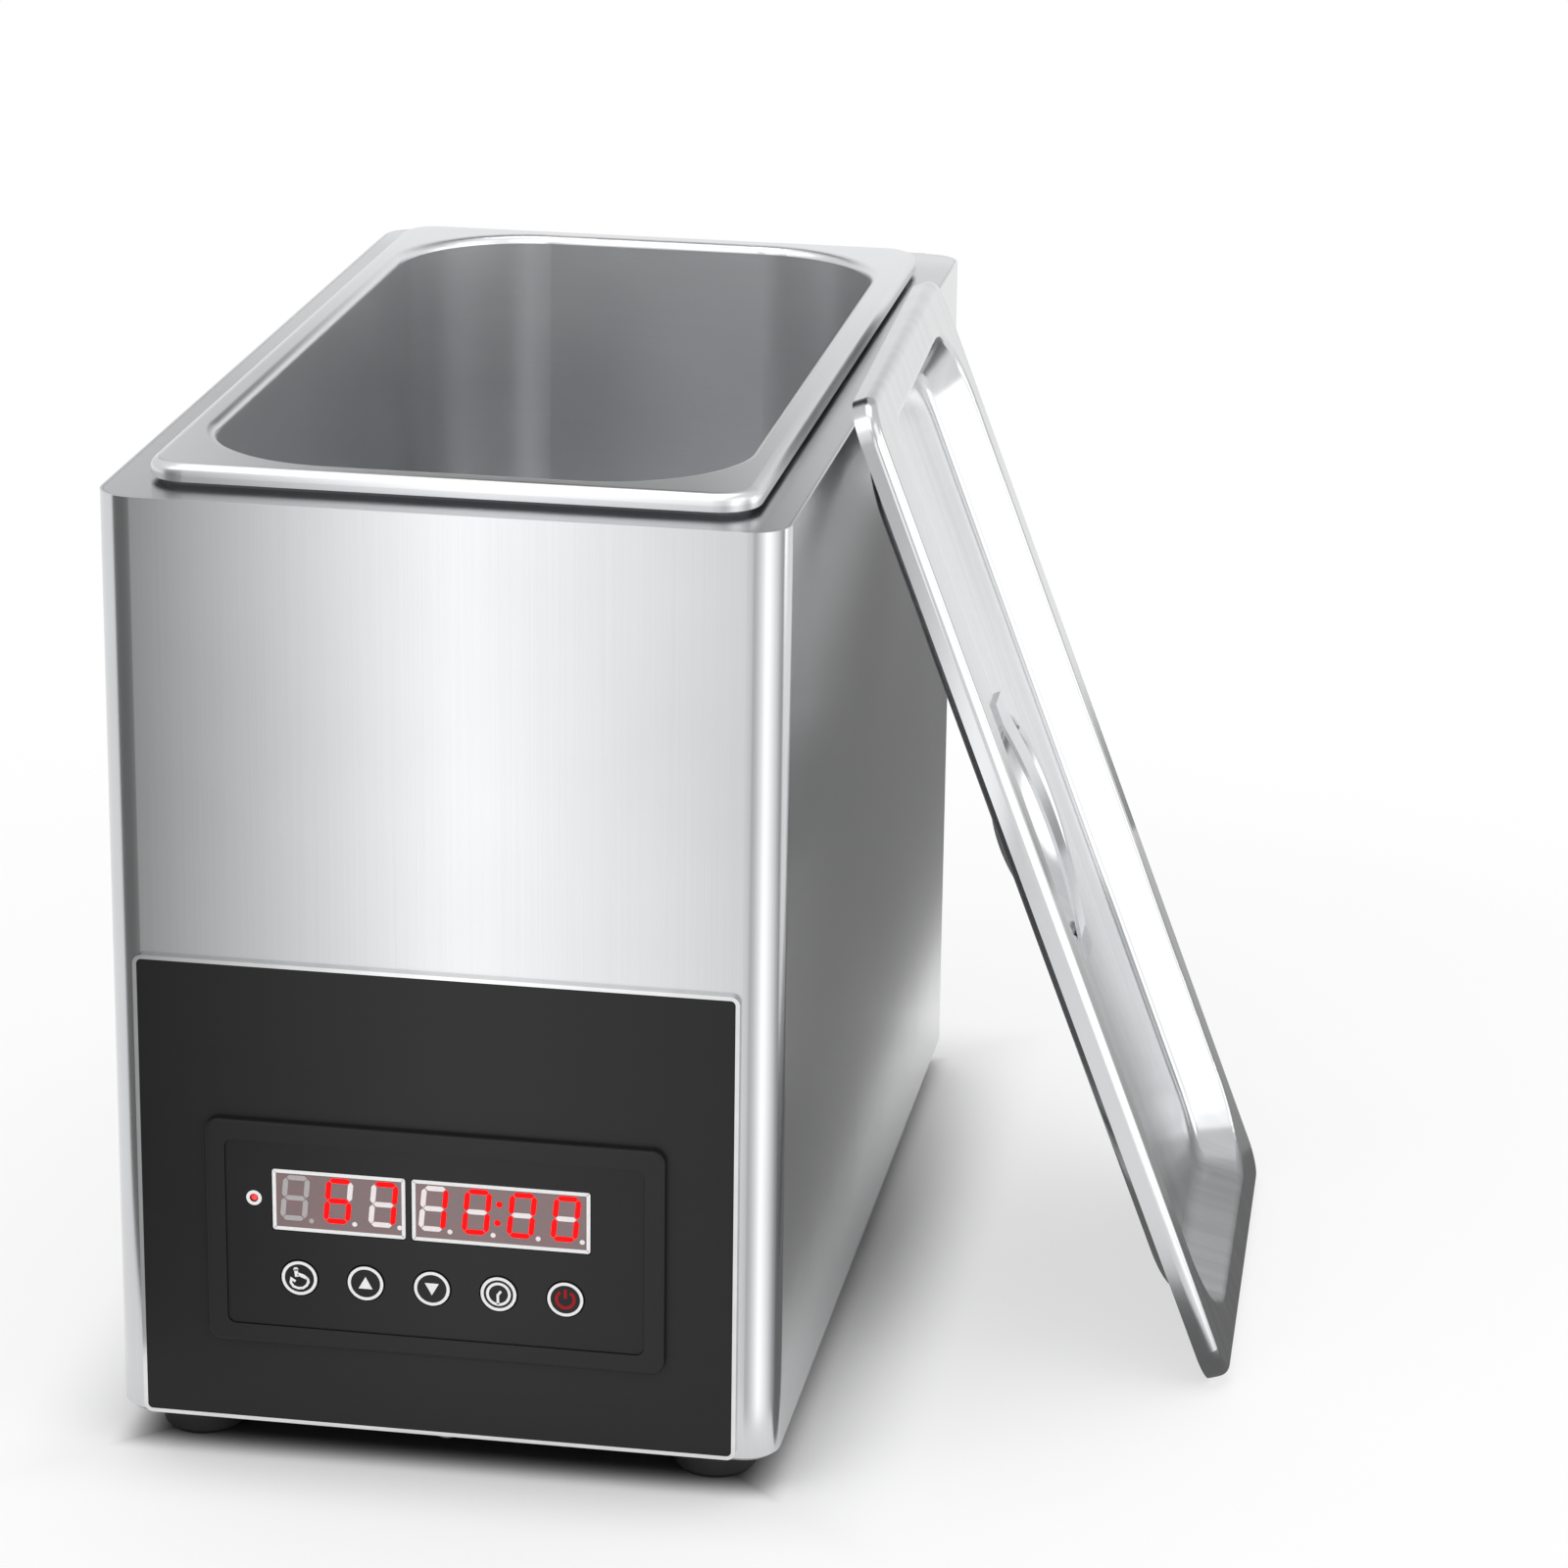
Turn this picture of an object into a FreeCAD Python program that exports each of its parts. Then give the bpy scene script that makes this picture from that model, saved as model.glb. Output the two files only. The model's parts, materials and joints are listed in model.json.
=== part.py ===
import FreeCAD, Part
import math
import os

# Counter-top electric egg boiler: a folded stainless casing on rubber feet, a deep third-size
# gastronorm tank hung in its top, a heater under the tank, a control panel on the front, and a
# pressed lid taken off and leant on the casing's right side.
# Frame: origin on the bench under the middle of the casing, +X right, +Y back, +Z up, millimetres.

V = FreeCAD.Vector
AXIS_X = V(1, 0, 0)
AXIS_Y = V(0, 1, 0)
AXIS_Z = V(0, 0, 1)

# ---------------------------------------------------------------- driving sizes: casing
side_ledge = 11.0  # tank flange to the casing's side
front_ledge = 12.5  # tank flange to the casing's front
back_ledge = 21.5
plenum_height = 85.9  # casing's lower edge to the tank's underside
casing_corner_radius = 11.0
casing_sheet = 0.8
casing_return = 15.0  # flat strip folded in at each back corner
casing_flange = 14.0  # flange folded in along the lower edge
foot_height = 12.0  # from the bench to the casing's lower edge
sheet_clearance = 0.1  # between sheets that nest
top_skirt = 14.0  # turned-down edge of the top frame, outside
top_lip = 6.0  # turned-down edge of the top frame, round the tank

# ---------------------------------------------------------------- driving sizes: tank
flange_length = 325.0  # third-size gastronorm
flange_width = 176.0
flange_corner_radius = 12.0
flange_rim_radius = 3.2
flange_rim_drop = 5.0
flange_height = 6.7  # top of the flange above the ledge
tank_strip = 9.5  # flat strip from the flange's edge to the opening
tank_opening_radius = 42.0
tank_depth = 200.0
tank_taper = 3.0
tank_floor_radius = 25.0
tank_sheet = 0.8
tank_bend_radius = 2.8
tank_frame_gap = 4.0  # tank wall to the top frame's opening
seal_clearance = 0.3

# ---------------------------------------------------------------- driving sizes: lid
lid_length = 325.0
lid_width = 176.0
lid_corner_radius = 12.0
lid_rim_radius = 3.2
lid_rim_drop = 7.0
lid_strip = 13.0
lid_recess_radius = 28.0
lid_recess_depth = 13.0
lid_recess_taper = 9.0
lid_floor_radius = 6.0
lid_bend_radius = 3.0
lid_sheet = 0.8
dish_radius = 37.0
dish_depth = 13.0
dish_bend_radius = 4.0
strap_width = 14.0
strap_thickness = 1.2
strap_rise = 3.0
strap_tab = 7.0
lid_lean = 69.0  # degrees from the bench
lid_yaw = 1.6  # degrees, far end nearer the casing
lid_centre_y = 5.5
lid_seat_gap = 0.3

# ---------------------------------------------------------------- driving sizes: front panel
panel_side_margin = 11.3  # casing side to the panel's edge, on average
panel_centre_x = -1.2
panel_height = 141.7
panel_thickness = 1.5
panel_corner_radius = 1.5
trim_width = 1.2
trim_proud = 0.3
bezel_rim_x = 6.0  # bezel's edge to its recess
bezel_rim_z = 6.0
bezel_corner_radius = 4.0
bezel_thickness = 2.6
bezel_edge_round = 1.2
bezel_centre_height = 61.0  # above the casing's lower edge
recess_shoulder = 2.5  # recess to the housing's tub behind it
recess_corner_radius = 2.5
overlay_thickness = 0.8
overlay_below_bezel = 0.5
overlay_clearance = 0.15
housing_depth = 13.0
housing_margin_x = 2.0  # lamp's collar to the tub's wall
housing_margin_z = 4.0  # displays to the tub's wall
housing_wall = 2.0
housing_clearance = 0.3
barb_length = 8.0
barb_height = 1.5

# ---------------------------------------------------------------- driving sizes: displays and keys
display_height = 19.0
display_corner_radius = 0.6
display_body_depth = 8.0
display_rise = 11.0  # row of displays above the bezel's middle
display_recess = 0.2  # display face behind the overlay face
display_clearance = 0.2
display_split_x = -7.5  # between the two displays, from the panel's middle
display_split = 1.95
temperature_width = 39.6
timer_width = 52.7
led_radius = 1.5
led_offset = 5.5  # from the temperature display's edge
led_flange_radius = 2.0
key_radius = 5.5
key_clearance = 0.3
key_proud = 0.3
key_pitch = 19.8
middle_key_x = -0.7  # from the panel's middle
key_row_drop = 13.2  # row of keys below the bezel's middle
key_travel = 0.5
key_flange_overlap = 1.4
key_flange_thickness = 1.0
key_running_gap = 0.3
switch_side = 6.0
switch_body = 3.0
switch_plunger_radius = 1.75
switch_spare_travel = 0.3
board_thickness = 1.6
board_edge_gap = 1.0
board_screw_inset = 3.5

# ---------------------------------------------------------------- driving sizes: base, feet, screws
base_thickness = 1.2
base_inset = 1.5
vent_slot_length = 60.0
vent_slot_width = 4.0
vent_slot_pitch = 11.0
vent_slot_count = 7
vent_slot_corner = 1.9
vent_slot_centre_y = -72.0
foot_radius = 13.5
foot_taper = 1.5
foot_inset = 21.0
foot_recess_radius = 6.0
foot_web = 4.0  # rubber left above the screw head
screw_radius = 2.0  # M4
screw_hole_clearance = 0.2
screw_head_radius = 3.8
screw_head_height = 2.2
nut_across_flats = 7.0
nut_height = 3.2
screw_overrun = 1.5  # shank past the nut
base_screw_rows = 3
base_screw_margin = 49.5  # from the casing's ends

# ---------------------------------------------------------------- driving sizes: back
back_edge_margin = 11.5  # casing side to the back panel's edge
back_screw_rows = 4
back_screw_margin = 8.0  # below the top frame's skirt
louvre_length = 42.0
louvre_radius = 4.0
louvre_rows = 6
louvre_pitch = 13.0
louvre_column_x = 32.0
louvre_base_height = 128.0
inlet_screw_gap = 0.7  # inlet's flange to the back panel's screw heads
inlet_centre_height = 36.0
inlet_flange_width = 50.0
inlet_flange_height = 23.0
inlet_flange_thickness = 3.0
inlet_body_width = 27.4
inlet_body_height = 20.4
inlet_socket_width = 24.2
inlet_socket_height = 16.6
inlet_chamfer = 5.0
inlet_socket_depth = 16.0
inlet_floor = 4.0
inlet_screw_spacing = 40.0
inlet_pin_spacing = 14.0
inlet_earth_rise = 4.0
inlet_pin_width = 4.0
inlet_pin_thickness = 2.0
inlet_pin_length = 12.0
inlet_tab_length = 8.0
inlet_tab_thickness = 0.8
inlet_clearance = 0.3

# ---------------------------------------------------------------- driving sizes: heater and tank fixings
heater_thickness = 5.0
heater_corner_radius = 8.0
pad_thickness = 3.0
clamp_margin = 2.0  # clamp past the heater at each end
clamp_sheet = 1.5
clamp_lip = 6.0
stud_radius = 2.5
stud_inset_x = 6.0
stud_inset_y = 22.0
stud_heater_gap = 3.5
stud_nut_flats = 8.0
stud_nut_height = 4.0
stud_overrun = 4.0
bushing_radius = 5.0
bushing_height = 12.0
bushing_spacing = 30.0
terminal_radius = 1.6
terminal_length = 8.0
probe_radius = 3.0
probe_length = 34.0
probe_floor_margin = 10.0  # from the end of the tank's flat floor
probe_clamp_gap = 10.0
clip_sheet = 0.8
clip_width = 10.0
clip_foot = 6.0
thermostat_radius = 8.0
thermostat_height = 9.0
thermostat_flange_radius = 11.0
thermostat_flange_thickness = 1.0
insulation_thickness = 8.0
insulation_gap = 0.3
insulation_above_floor = 25.0
insulation_below_ledge = 30.0
bracket_sheet = 1.2
bracket_width = 20.0
bracket_drop = 12.0
bracket_reach = 14.0
bracket_end_margin = 67.5  # from the flange's ends
bracket_wall_gap = 0.4

# ---------------------------------------------------------------- driving sizes: power electronics
board_width = 110.0
board_length = 84.0
board_side_gap = 23.0  # from the casing's left side
board_back_gap = 45.5  # from the casing's back
standoff_height = 8.0
standoff_radius = 3.5
standoff_inset = 5.0
core_width = 41.0
core_depth = 20.0
core_height = 34.0
winding_depth = 32.0
winding_margin = 6.0
transformer_x = -30.0
transformer_y = 14.0
relay_width = 20.0
relay_depth = 16.0
relay_height = 15.0
relay_x = 14.0
relay_y = 20.0
block_width = 46.0
block_depth = 14.0
block_height = 14.0
block_way_radius = 2.4
block_wire_height = 3.5  # wire ways above the board
block_ways = 4
block_x = 22.0
block_y = -24.0
fuse_radius = 3.0
fuse_length = 20.0
fuse_x = -24.0
fuse_y = -26.0
fuse_clip_width = 3.0
fuse_clip_height = 9.0
earth_offset_x = 28.0  # from the inlet, towards the board
earth_back_gap = 19.5
earth_stud_height = 16.0

# ---------------------------------------------------------------- levels and places that follow
casing_width = flange_width + 2 * side_ledge
casing_depth = front_ledge + flange_length + back_ledge
casing_height = plenum_height + tank_sheet + tank_depth - flange_height
casing_bottom = foot_height
ledge_level = casing_bottom + casing_height
flange_top = ledge_level + flange_height
casing_front = -casing_depth / 2
casing_back = casing_depth / 2
tank_centre_y = casing_front + front_ledge + flange_length / 2
tank_underside = flange_top - tank_depth - tank_sheet
base_underside = casing_bottom - base_thickness
panel_front = casing_front - panel_thickness
bezel_front = panel_front - bezel_thickness
overlay_front = bezel_front + overlay_below_bezel
display_front = overlay_front + display_recess
control_board_front = display_front + display_body_depth
back_outside = casing_back + casing_sheet
tank_outer_width = flange_width - 2 * tank_strip + 2 * tank_sheet
tank_outer_length = flange_length - 2 * tank_strip + 2 * tank_sheet
tank_outer_radius = tank_opening_radius + tank_sheet
screw_hole_radius = screw_radius + screw_hole_clearance
panel_width = casing_width - 2 * panel_side_margin
display_level = casing_bottom + bezel_centre_height + display_rise
key_level = casing_bottom + bezel_centre_height - key_row_drop
temperature_centre_x = panel_centre_x + display_split_x - display_split / 2 - temperature_width / 2
timer_centre_x = panel_centre_x + display_split_x + display_split / 2 + timer_width / 2
led_centre_x = temperature_centre_x - temperature_width / 2 - led_offset
housing_reach = panel_centre_x - led_centre_x + led_flange_radius + housing_margin_x
housing_width = 2 * (housing_reach + housing_wall)
housing_height = 2 * (display_rise + display_height / 2 + housing_margin_z + housing_wall)
recess_width = housing_width + 2 * recess_shoulder
recess_height = housing_height + 2 * recess_shoulder
bezel_width = recess_width + 2 * bezel_rim_x
bezel_height = recess_height + 2 * bezel_rim_z
back_screw_x = casing_width / 2 - casing_corner_radius - casing_return / 2
inlet_centre_x = back_screw_x - screw_head_radius - inlet_screw_gap - inlet_flange_width / 2
inlet_level = casing_bottom + inlet_centre_height
flat_floor_x = flange_width / 2 - tank_strip - tank_taper - tank_floor_radius
flat_floor_y = flange_length / 2 - tank_strip - tank_taper - tank_floor_radius
probe_offset_y = flat_floor_y - probe_floor_margin
clamp_width = 2 * flat_floor_x
clamp_length = 2 * (probe_offset_y - probe_clamp_gap)
stud_offset_x = clamp_width / 2 - stud_inset_x - stud_radius
heater_width = 2 * (stud_offset_x - stud_radius - stud_heater_gap)
heater_length = clamp_length - 2 * clamp_margin
board_centre_x = board_side_gap + board_width / 2 - casing_width / 2
board_centre_y = casing_back - board_back_gap - board_length / 2
earth_x = inlet_centre_x - earth_offset_x
earth_y = casing_back - earth_back_gap
overshoot = 1.0  # how far a cutter runs past the face that it cuts
key_names = ("key_set", "key_plus", "key_minus", "key_timer", "key_power")

parts = {}  # node name to its list of solids


# ---------------------------------------------------------------- small shape helpers
def rounded_outline(size_x, size_y, radius, level=0.0):
    # Closed wire of a rectangle with round corners, centred on the Z axis at this level.
    arcs = []
    for quarter, (side_x, side_y) in enumerate(((1, 1), (-1, 1), (-1, -1), (1, -1))):
        centre = V(side_x * (size_x / 2 - radius), side_y * (size_y / 2 - radius), level)
        start = quarter * math.pi / 2
        points = [
            centre + V(radius * math.cos(start + turn), radius * math.sin(start + turn), 0)
            for turn in (0, math.pi / 4, math.pi / 2)
        ]
        arcs.append(Part.Arc(*points).toShape())
    edges = []
    for arc, following in zip(arcs, arcs[1:] + arcs[:1]):
        edges.append(arc)
        edges.append(Part.makeLine(arc.Vertexes[-1].Point, following.Vertexes[0].Point))
    return Part.Wire(edges)


def plate(size_x, size_y, radius, level, thickness, x=0.0, y=0.0):
    # Flat plate with round corners, from this level up.
    solid = Part.Face(rounded_outline(size_x, size_y, radius)).extrude(V(0, 0, thickness))
    solid.translate(V(x, y, level))
    return solid


def upright_plate(size_x, size_z, radius, x, z, front, thickness):
    # Plate that stands across the machine, from the plane y = front backwards.
    solid = Part.Face(rounded_outline(size_x, size_z, radius)).extrude(V(0, 0, thickness))
    solid.rotate(V(0, 0, 0), AXIS_X, 90)
    solid.translate(V(x, front + thickness, z))
    return solid


def ring(size_x, size_y, radius, width, level, thickness, x=0.0, y=0.0):
    # Flat rounded frame of this strip width.
    outer = plate(size_x, size_y, radius, level, thickness, x, y)
    inner_radius = max(radius - width, overshoot)
    inner = plate(
        size_x - 2 * width, size_y - 2 * width, inner_radius,
        level - overshoot, thickness + 2 * overshoot, x, y,
    )
    return outer.cut(inner)


def block(low_x, high_x, low_y, high_y, low_z, high_z):
    return Part.makeBox(high_x - low_x, high_y - low_y, high_z - low_z, V(low_x, low_y, low_z))


def rod(radius, start, direction, length):
    return Part.makeCylinder(radius, length, start, direction)


def turned(points, x, y, level):
    # Solid turned about a vertical axis from (radius, height) points.
    outline = [V(radius, 0, height) for radius, height in points]
    face = Part.Face(Part.makePolygon(outline + outline[:1]))
    solid = face.revolve(V(0, 0, 0), AXIS_Z, 360)
    solid.translate(V(x, y, level))
    return solid


def hexagon(across_flats, height, x, y, level):
    corner = across_flats / math.sqrt(3)
    points = [
        V(x + corner * math.cos(side * math.pi / 3), y + corner * math.sin(side * math.pi / 3), level)
        for side in range(7)
    ]
    return Part.Face(Part.makePolygon(points)).extrude(V(0, 0, height))


def level_edges(shape, level, tolerance=0.01):
    # Edges that lie wholly in the plane z = level.
    return [
        edge for edge in shape.Edges
        if abs(edge.BoundBox.ZMin - level) < tolerance and abs(edge.BoundBox.ZMax - level) < tolerance
    ]


def front_edges(shape, front, tolerance=0.01):
    # Edges that lie wholly in the plane y = front.
    return [
        edge for edge in shape.Edges
        if abs(edge.BoundBox.YMin - front) < tolerance and abs(edge.BoundBox.YMax - front) < tolerance
    ]


def grid(count, pitch, centre=0.0):
    # Evenly spaced places about a centre.
    return [centre + (index - (count - 1) / 2) * pitch for index in range(count)]


# ---------------------------------------------------------------- pressed pans: the tank and the lid
def tapered_body(size_x, size_y, radius, depth, taper, floor_radius):
    # Tapered tub shape with its mouth at z = 0, and a rounded edge round its floor.
    mouth = rounded_outline(size_x, size_y, radius)
    floor = rounded_outline(size_x - 2 * taper, size_y - 2 * taper, radius - taper, -depth)
    body = Part.makeLoft([mouth, floor], True, True)
    return body.makeFillet(floor_radius, level_edges(body, -depth))


def pressed_pan(size_x, size_y, corner, rim_radius, rim_drop, strip, mouth_radius, depth,
                taper, floor_radius, bend_radius, sheet):
    # Pan pressed from one sheet, the top of its rim at z = 0: a turned-down rim with a rolled
    # edge, a flat strip inside it, and a tapered tub below the strip.
    rim = plate(size_x, size_y, corner, -rim_drop, rim_drop)
    rim = rim.makeFillet(rim_radius, level_edges(rim, 0))
    rim_hollow = plate(
        size_x - 2 * sheet, size_y - 2 * sheet, corner - sheet, -rim_drop - overshoot,
        rim_drop + overshoot - sheet,
    )
    rim_hollow = rim_hollow.makeFillet(rim_radius - sheet, level_edges(rim_hollow, -sheet))
    mouth_x = size_x - 2 * strip
    mouth_y = size_y - 2 * strip
    outside = tapered_body(
        mouth_x + 2 * sheet, mouth_y + 2 * sheet, mouth_radius + sheet,
        depth + sheet, taper, floor_radius + sheet,
    )
    inside = tapered_body(mouth_x, mouth_y, mouth_radius, depth, taper, floor_radius)
    pan = rim.cut(rim_hollow).fuse(outside)
    inner_bend = [
        edge for edge in level_edges(pan, -sheet)
        if edge.BoundBox.XLength < mouth_x + 4 * sheet and edge.BoundBox.YLength < mouth_y + 4 * sheet
        and abs(edge.CenterOfMass.x) < mouth_x / 2 + 2 * sheet
        and abs(edge.CenterOfMass.y) < mouth_y / 2 + 2 * sheet
    ]
    pan = pan.makeFillet(bend_radius - sheet, inner_bend)
    pan = pan.cut(inside)
    outer_bend = [
        edge for edge in level_edges(pan, 0)
        if abs(edge.CenterOfMass.x) < mouth_x / 2 + sheet / 2
        and abs(edge.CenterOfMass.y) < mouth_y / 2 + sheet / 2
    ]
    return pan.makeFillet(bend_radius, outer_bend)


def make_tank():
    tank = pressed_pan(
        flange_width, flange_length, flange_corner_radius, flange_rim_radius, flange_rim_drop,
        tank_strip, tank_opening_radius, tank_depth, tank_taper, tank_floor_radius,
        tank_bend_radius, tank_sheet,
    )
    tank.translate(V(0, tank_centre_y, flange_top))
    parts["tank"] = [tank]

    seal_inset = flange_rim_radius + seal_clearance
    seal_width = tank_strip - tank_bend_radius - seal_clearance - seal_inset
    parts["tank_seal"] = [ring(
        flange_width - 2 * seal_inset, flange_length - 2 * seal_inset,
        flange_corner_radius - seal_inset, seal_width,
        ledge_level, flange_height - tank_sheet, y=tank_centre_y,
    )]


def make_hold_downs():
    # J-brackets spot-welded to the tank's long walls, each with a screw that draws the tank down
    # on its seal by pushing up against the ledge from below.
    brackets = []
    screws = []
    leg_level = ledge_level - casing_sheet - bracket_drop
    offset_y = flange_length / 2 - bracket_end_margin
    wall = tank_outer_width / 2 + bracket_wall_gap
    for side in (-1, 1):
        for y in (tank_centre_y - offset_y, tank_centre_y + offset_y):
            leg = block(wall, wall + bracket_sheet, -bracket_width / 2, bracket_width / 2,
                        leg_level, ledge_level - casing_sheet)
            foot = block(wall, wall + bracket_reach, -bracket_width / 2, bracket_width / 2,
                         leg_level, leg_level + bracket_sheet)
            screw_x = wall + bracket_reach - screw_head_radius
            hole = rod(screw_hole_radius, V(screw_x, 0, leg_level - overshoot), AXIS_Z,
                       bracket_sheet + 2 * overshoot)
            bracket = leg.fuse(foot).cut(hole).removeSplitter()
            screw_bottom = leg_level - screw_head_height
            screw = rod(screw_head_radius, V(screw_x, 0, screw_bottom), AXIS_Z, screw_head_height)
            shank = rod(screw_radius, V(screw_x, 0, leg_level), AXIS_Z, bracket_drop)
            screw = screw.fuse(shank).removeSplitter()
            for piece, group in ((bracket, brackets), (screw, screws)):
                if side < 0:
                    piece.rotate(V(0, 0, 0), AXIS_Z, 180)
                piece.translate(V(0, y, 0))
                group.append(piece)
    parts["hold_down_brackets"] = brackets
    parts["hold_down_screws"] = screws


# ---------------------------------------------------------------- casing
def base_screw_places():
    side_x = casing_width / 2 - casing_flange / 2
    front_y = casing_front + casing_flange / 2
    spacing = (casing_depth - 2 * base_screw_margin) / (base_screw_rows - 1)
    places = [(side * side_x, y) for side in (-1, 1) for y in grid(base_screw_rows, spacing)]
    places.append((0.0, front_y))
    return places


def foot_places():
    x = casing_width / 2 - foot_inset
    y = casing_depth / 2 - foot_inset
    return [(side_x * x, side_y * y) for side_x in (-1, 1) for side_y in (-1, 1)]


def back_screw_places():
    span = casing_height - 2 * (top_skirt + back_screw_margin)
    heights = grid(back_screw_rows, span / (back_screw_rows - 1), casing_bottom + casing_height / 2)
    return [(side * back_screw_x, height) for side in (-1, 1) for height in heights]


def upward_hole(radius, x, y, level, depth):
    return rod(radius, V(x, y, level - overshoot), AXIS_Z, depth + 2 * overshoot)


def rear_hole(radius, x, z, front, depth):
    return rod(radius, V(x, front - overshoot, z), AXIS_Y, depth + 2 * overshoot)


def housing_cutout(front, thickness):
    return upright_plate(
        housing_width + 2 * housing_clearance, housing_height + 2 * housing_clearance,
        recess_corner_radius, panel_centre_x, casing_bottom + bezel_centre_height,
        front - overshoot, thickness + 2 * overshoot,
    )


def make_casing():
    # One sheet folded round the front and both sides, with returns at the back corners and a
    # flange turned in along the lower edge.
    outside = plate(casing_width, casing_depth, casing_corner_radius, casing_bottom, casing_height)
    hollow = plate(
        casing_width - 2 * casing_sheet, casing_depth - 2 * casing_sheet,
        casing_corner_radius - casing_sheet, casing_bottom + casing_sheet, casing_height,
    )
    half_gap = casing_width / 2 - casing_corner_radius - casing_return
    rear_gap = block(-half_gap, half_gap, casing_back - casing_flange, casing_back + overshoot,
                     casing_bottom - overshoot, ledge_level + overshoot)
    floor_gap = block(
        -casing_width / 2 + casing_flange, casing_width / 2 - casing_flange,
        casing_front + casing_flange, casing_back - casing_sheet,
        casing_bottom - overshoot, casing_bottom + casing_sheet + overshoot,
    )
    wrap = outside.cut(hollow).cut(rear_gap).cut(floor_gap)
    wrap = wrap.cut(housing_cutout(casing_front, casing_sheet))
    holes = [upward_hole(screw_hole_radius, x, y, casing_bottom, casing_sheet)
             for x, y in base_screw_places()]
    holes += [rear_hole(screw_hole_radius, x, z, casing_back - casing_sheet, casing_sheet)
              for x, z in back_screw_places()]
    for x, y in foot_places():
        clear = nut_across_flats / math.sqrt(3) + overshoot
        holes.append(block(x - clear, x + clear, y - clear, y + clear,
                           casing_bottom - overshoot, casing_bottom + casing_sheet + overshoot))
    parts["casing_wrap"] = [wrap.cut(Part.makeCompound(holes))]


def make_top_frame():
    # Ledge round the tank, with an outer skirt inside the casing and a stiffening lip inside.
    inset = casing_sheet + sheet_clearance
    size_x = casing_width - 2 * inset
    size_y = casing_depth - 2 * inset
    radius = casing_corner_radius - inset
    skirt = ring(size_x, size_y, radius, casing_sheet, ledge_level - top_skirt, top_skirt)
    ledge = plate(size_x, size_y, radius, ledge_level - casing_sheet, casing_sheet)
    lip_x = tank_outer_width + 2 * tank_frame_gap
    lip_y = tank_outer_length + 2 * tank_frame_gap
    lip_radius = tank_outer_radius + tank_frame_gap
    opening = plate(lip_x, lip_y, lip_radius, ledge_level - top_skirt, 2 * top_skirt, y=tank_centre_y)
    lip = ring(lip_x + 2 * casing_sheet, lip_y + 2 * casing_sheet, lip_radius + casing_sheet,
               casing_sheet, ledge_level - top_lip, top_lip, y=tank_centre_y)
    parts["top_frame"] = [skirt.fuse(ledge).cut(opening).fuse(lip).removeSplitter()]


def louvre_places():
    return [
        (side * louvre_column_x, louvre_base_height + casing_bottom + row * louvre_pitch)
        for side in (-1, 1) for row in range(louvre_rows)
    ]


def louvre_bulge(x, z, radius, front):
    # Quarter-round bulge with ball-shaped ends, open downwards, standing back from this plane.
    bulge = rod(radius, V(x - louvre_length / 2, front, z), AXIS_X, louvre_length)
    for end in (x - louvre_length / 2, x + louvre_length / 2):
        bulge = bulge.fuse(Part.makeSphere(radius, V(end, front, z)))
    reach = louvre_length / 2 + 2 * radius
    return bulge.common(block(x - reach, x + reach, front, front + 2 * radius, z, z + 2 * radius))


def make_back_panel():
    # Pressed sheet over the casing's returns: louvres to let warm air out, the inlet's cut-out,
    # and a flange turned in over the base plate.
    width = casing_width - 2 * back_edge_margin
    panel = upright_plate(width, casing_height, panel_corner_radius, 0.0,
                          casing_bottom + casing_height / 2, casing_back, casing_sheet)
    flange_half = casing_width / 2 - casing_corner_radius - casing_return - housing_clearance
    flange = block(-flange_half, flange_half, casing_back - casing_flange, casing_back,
                   casing_bottom, casing_bottom + casing_sheet)
    panel = panel.fuse(flange)
    hoods = []
    hollows = []
    for x, z in louvre_places():
        hoods.append(louvre_bulge(x, z, louvre_radius, back_outside))
        hollow = louvre_bulge(x, z, louvre_radius - casing_sheet, back_outside)
        slot = block(x - louvre_length / 2, x + louvre_length / 2, casing_back - overshoot,
                     back_outside + overshoot / 2, z, z + louvre_radius - casing_sheet)
        hollows.append(hollow.fuse(slot))
    panel = panel.fuse(hoods).cut(Part.makeCompound(hollows))
    holes = [rear_hole(screw_hole_radius, x, z, casing_back, casing_sheet) for x, z in back_screw_places()]
    holes.append(inlet_outline(
        inlet_body_width + 2 * inlet_clearance, inlet_body_height + 2 * inlet_clearance,
        casing_back - overshoot, casing_sheet + 2 * overshoot,
    ))
    holes += [rear_hole(screw_hole_radius, x, inlet_level, casing_back, casing_sheet)
              for x in grid(2, inlet_screw_spacing, inlet_centre_x)]
    parts["back_panel"] = [panel.cut(Part.makeCompound(holes)).removeSplitter()]

    screws = []
    for x, z in back_screw_places():
        head = rod(screw_head_radius, V(x, back_outside, z), AXIS_Y, screw_head_height)
        head = head.makeFillet(screw_head_height / 2, front_edges(head, back_outside + screw_head_height))
        length = 2 * casing_sheet + nut_height + screw_overrun
        shank = rod(screw_radius, V(x, back_outside - length, z), AXIS_Y, length)
        screws.append(head.fuse(shank).removeSplitter())
    parts["back_screws"] = screws
    nut_front = casing_back - casing_sheet - nut_height
    nuts = []
    for x, z in back_screw_places():
        nut = hexagon(nut_across_flats, nut_height, 0.0, 0.0, 0.0)
        nut = nut.cut(upward_hole(screw_radius, 0.0, 0.0, 0.0, nut_height))
        nut.rotate(V(0, 0, 0), AXIS_X, 90)
        nut.translate(V(x, nut_front + nut_height, z))
        nuts.append(nut)
    parts["back_nuts"] = nuts


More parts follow.
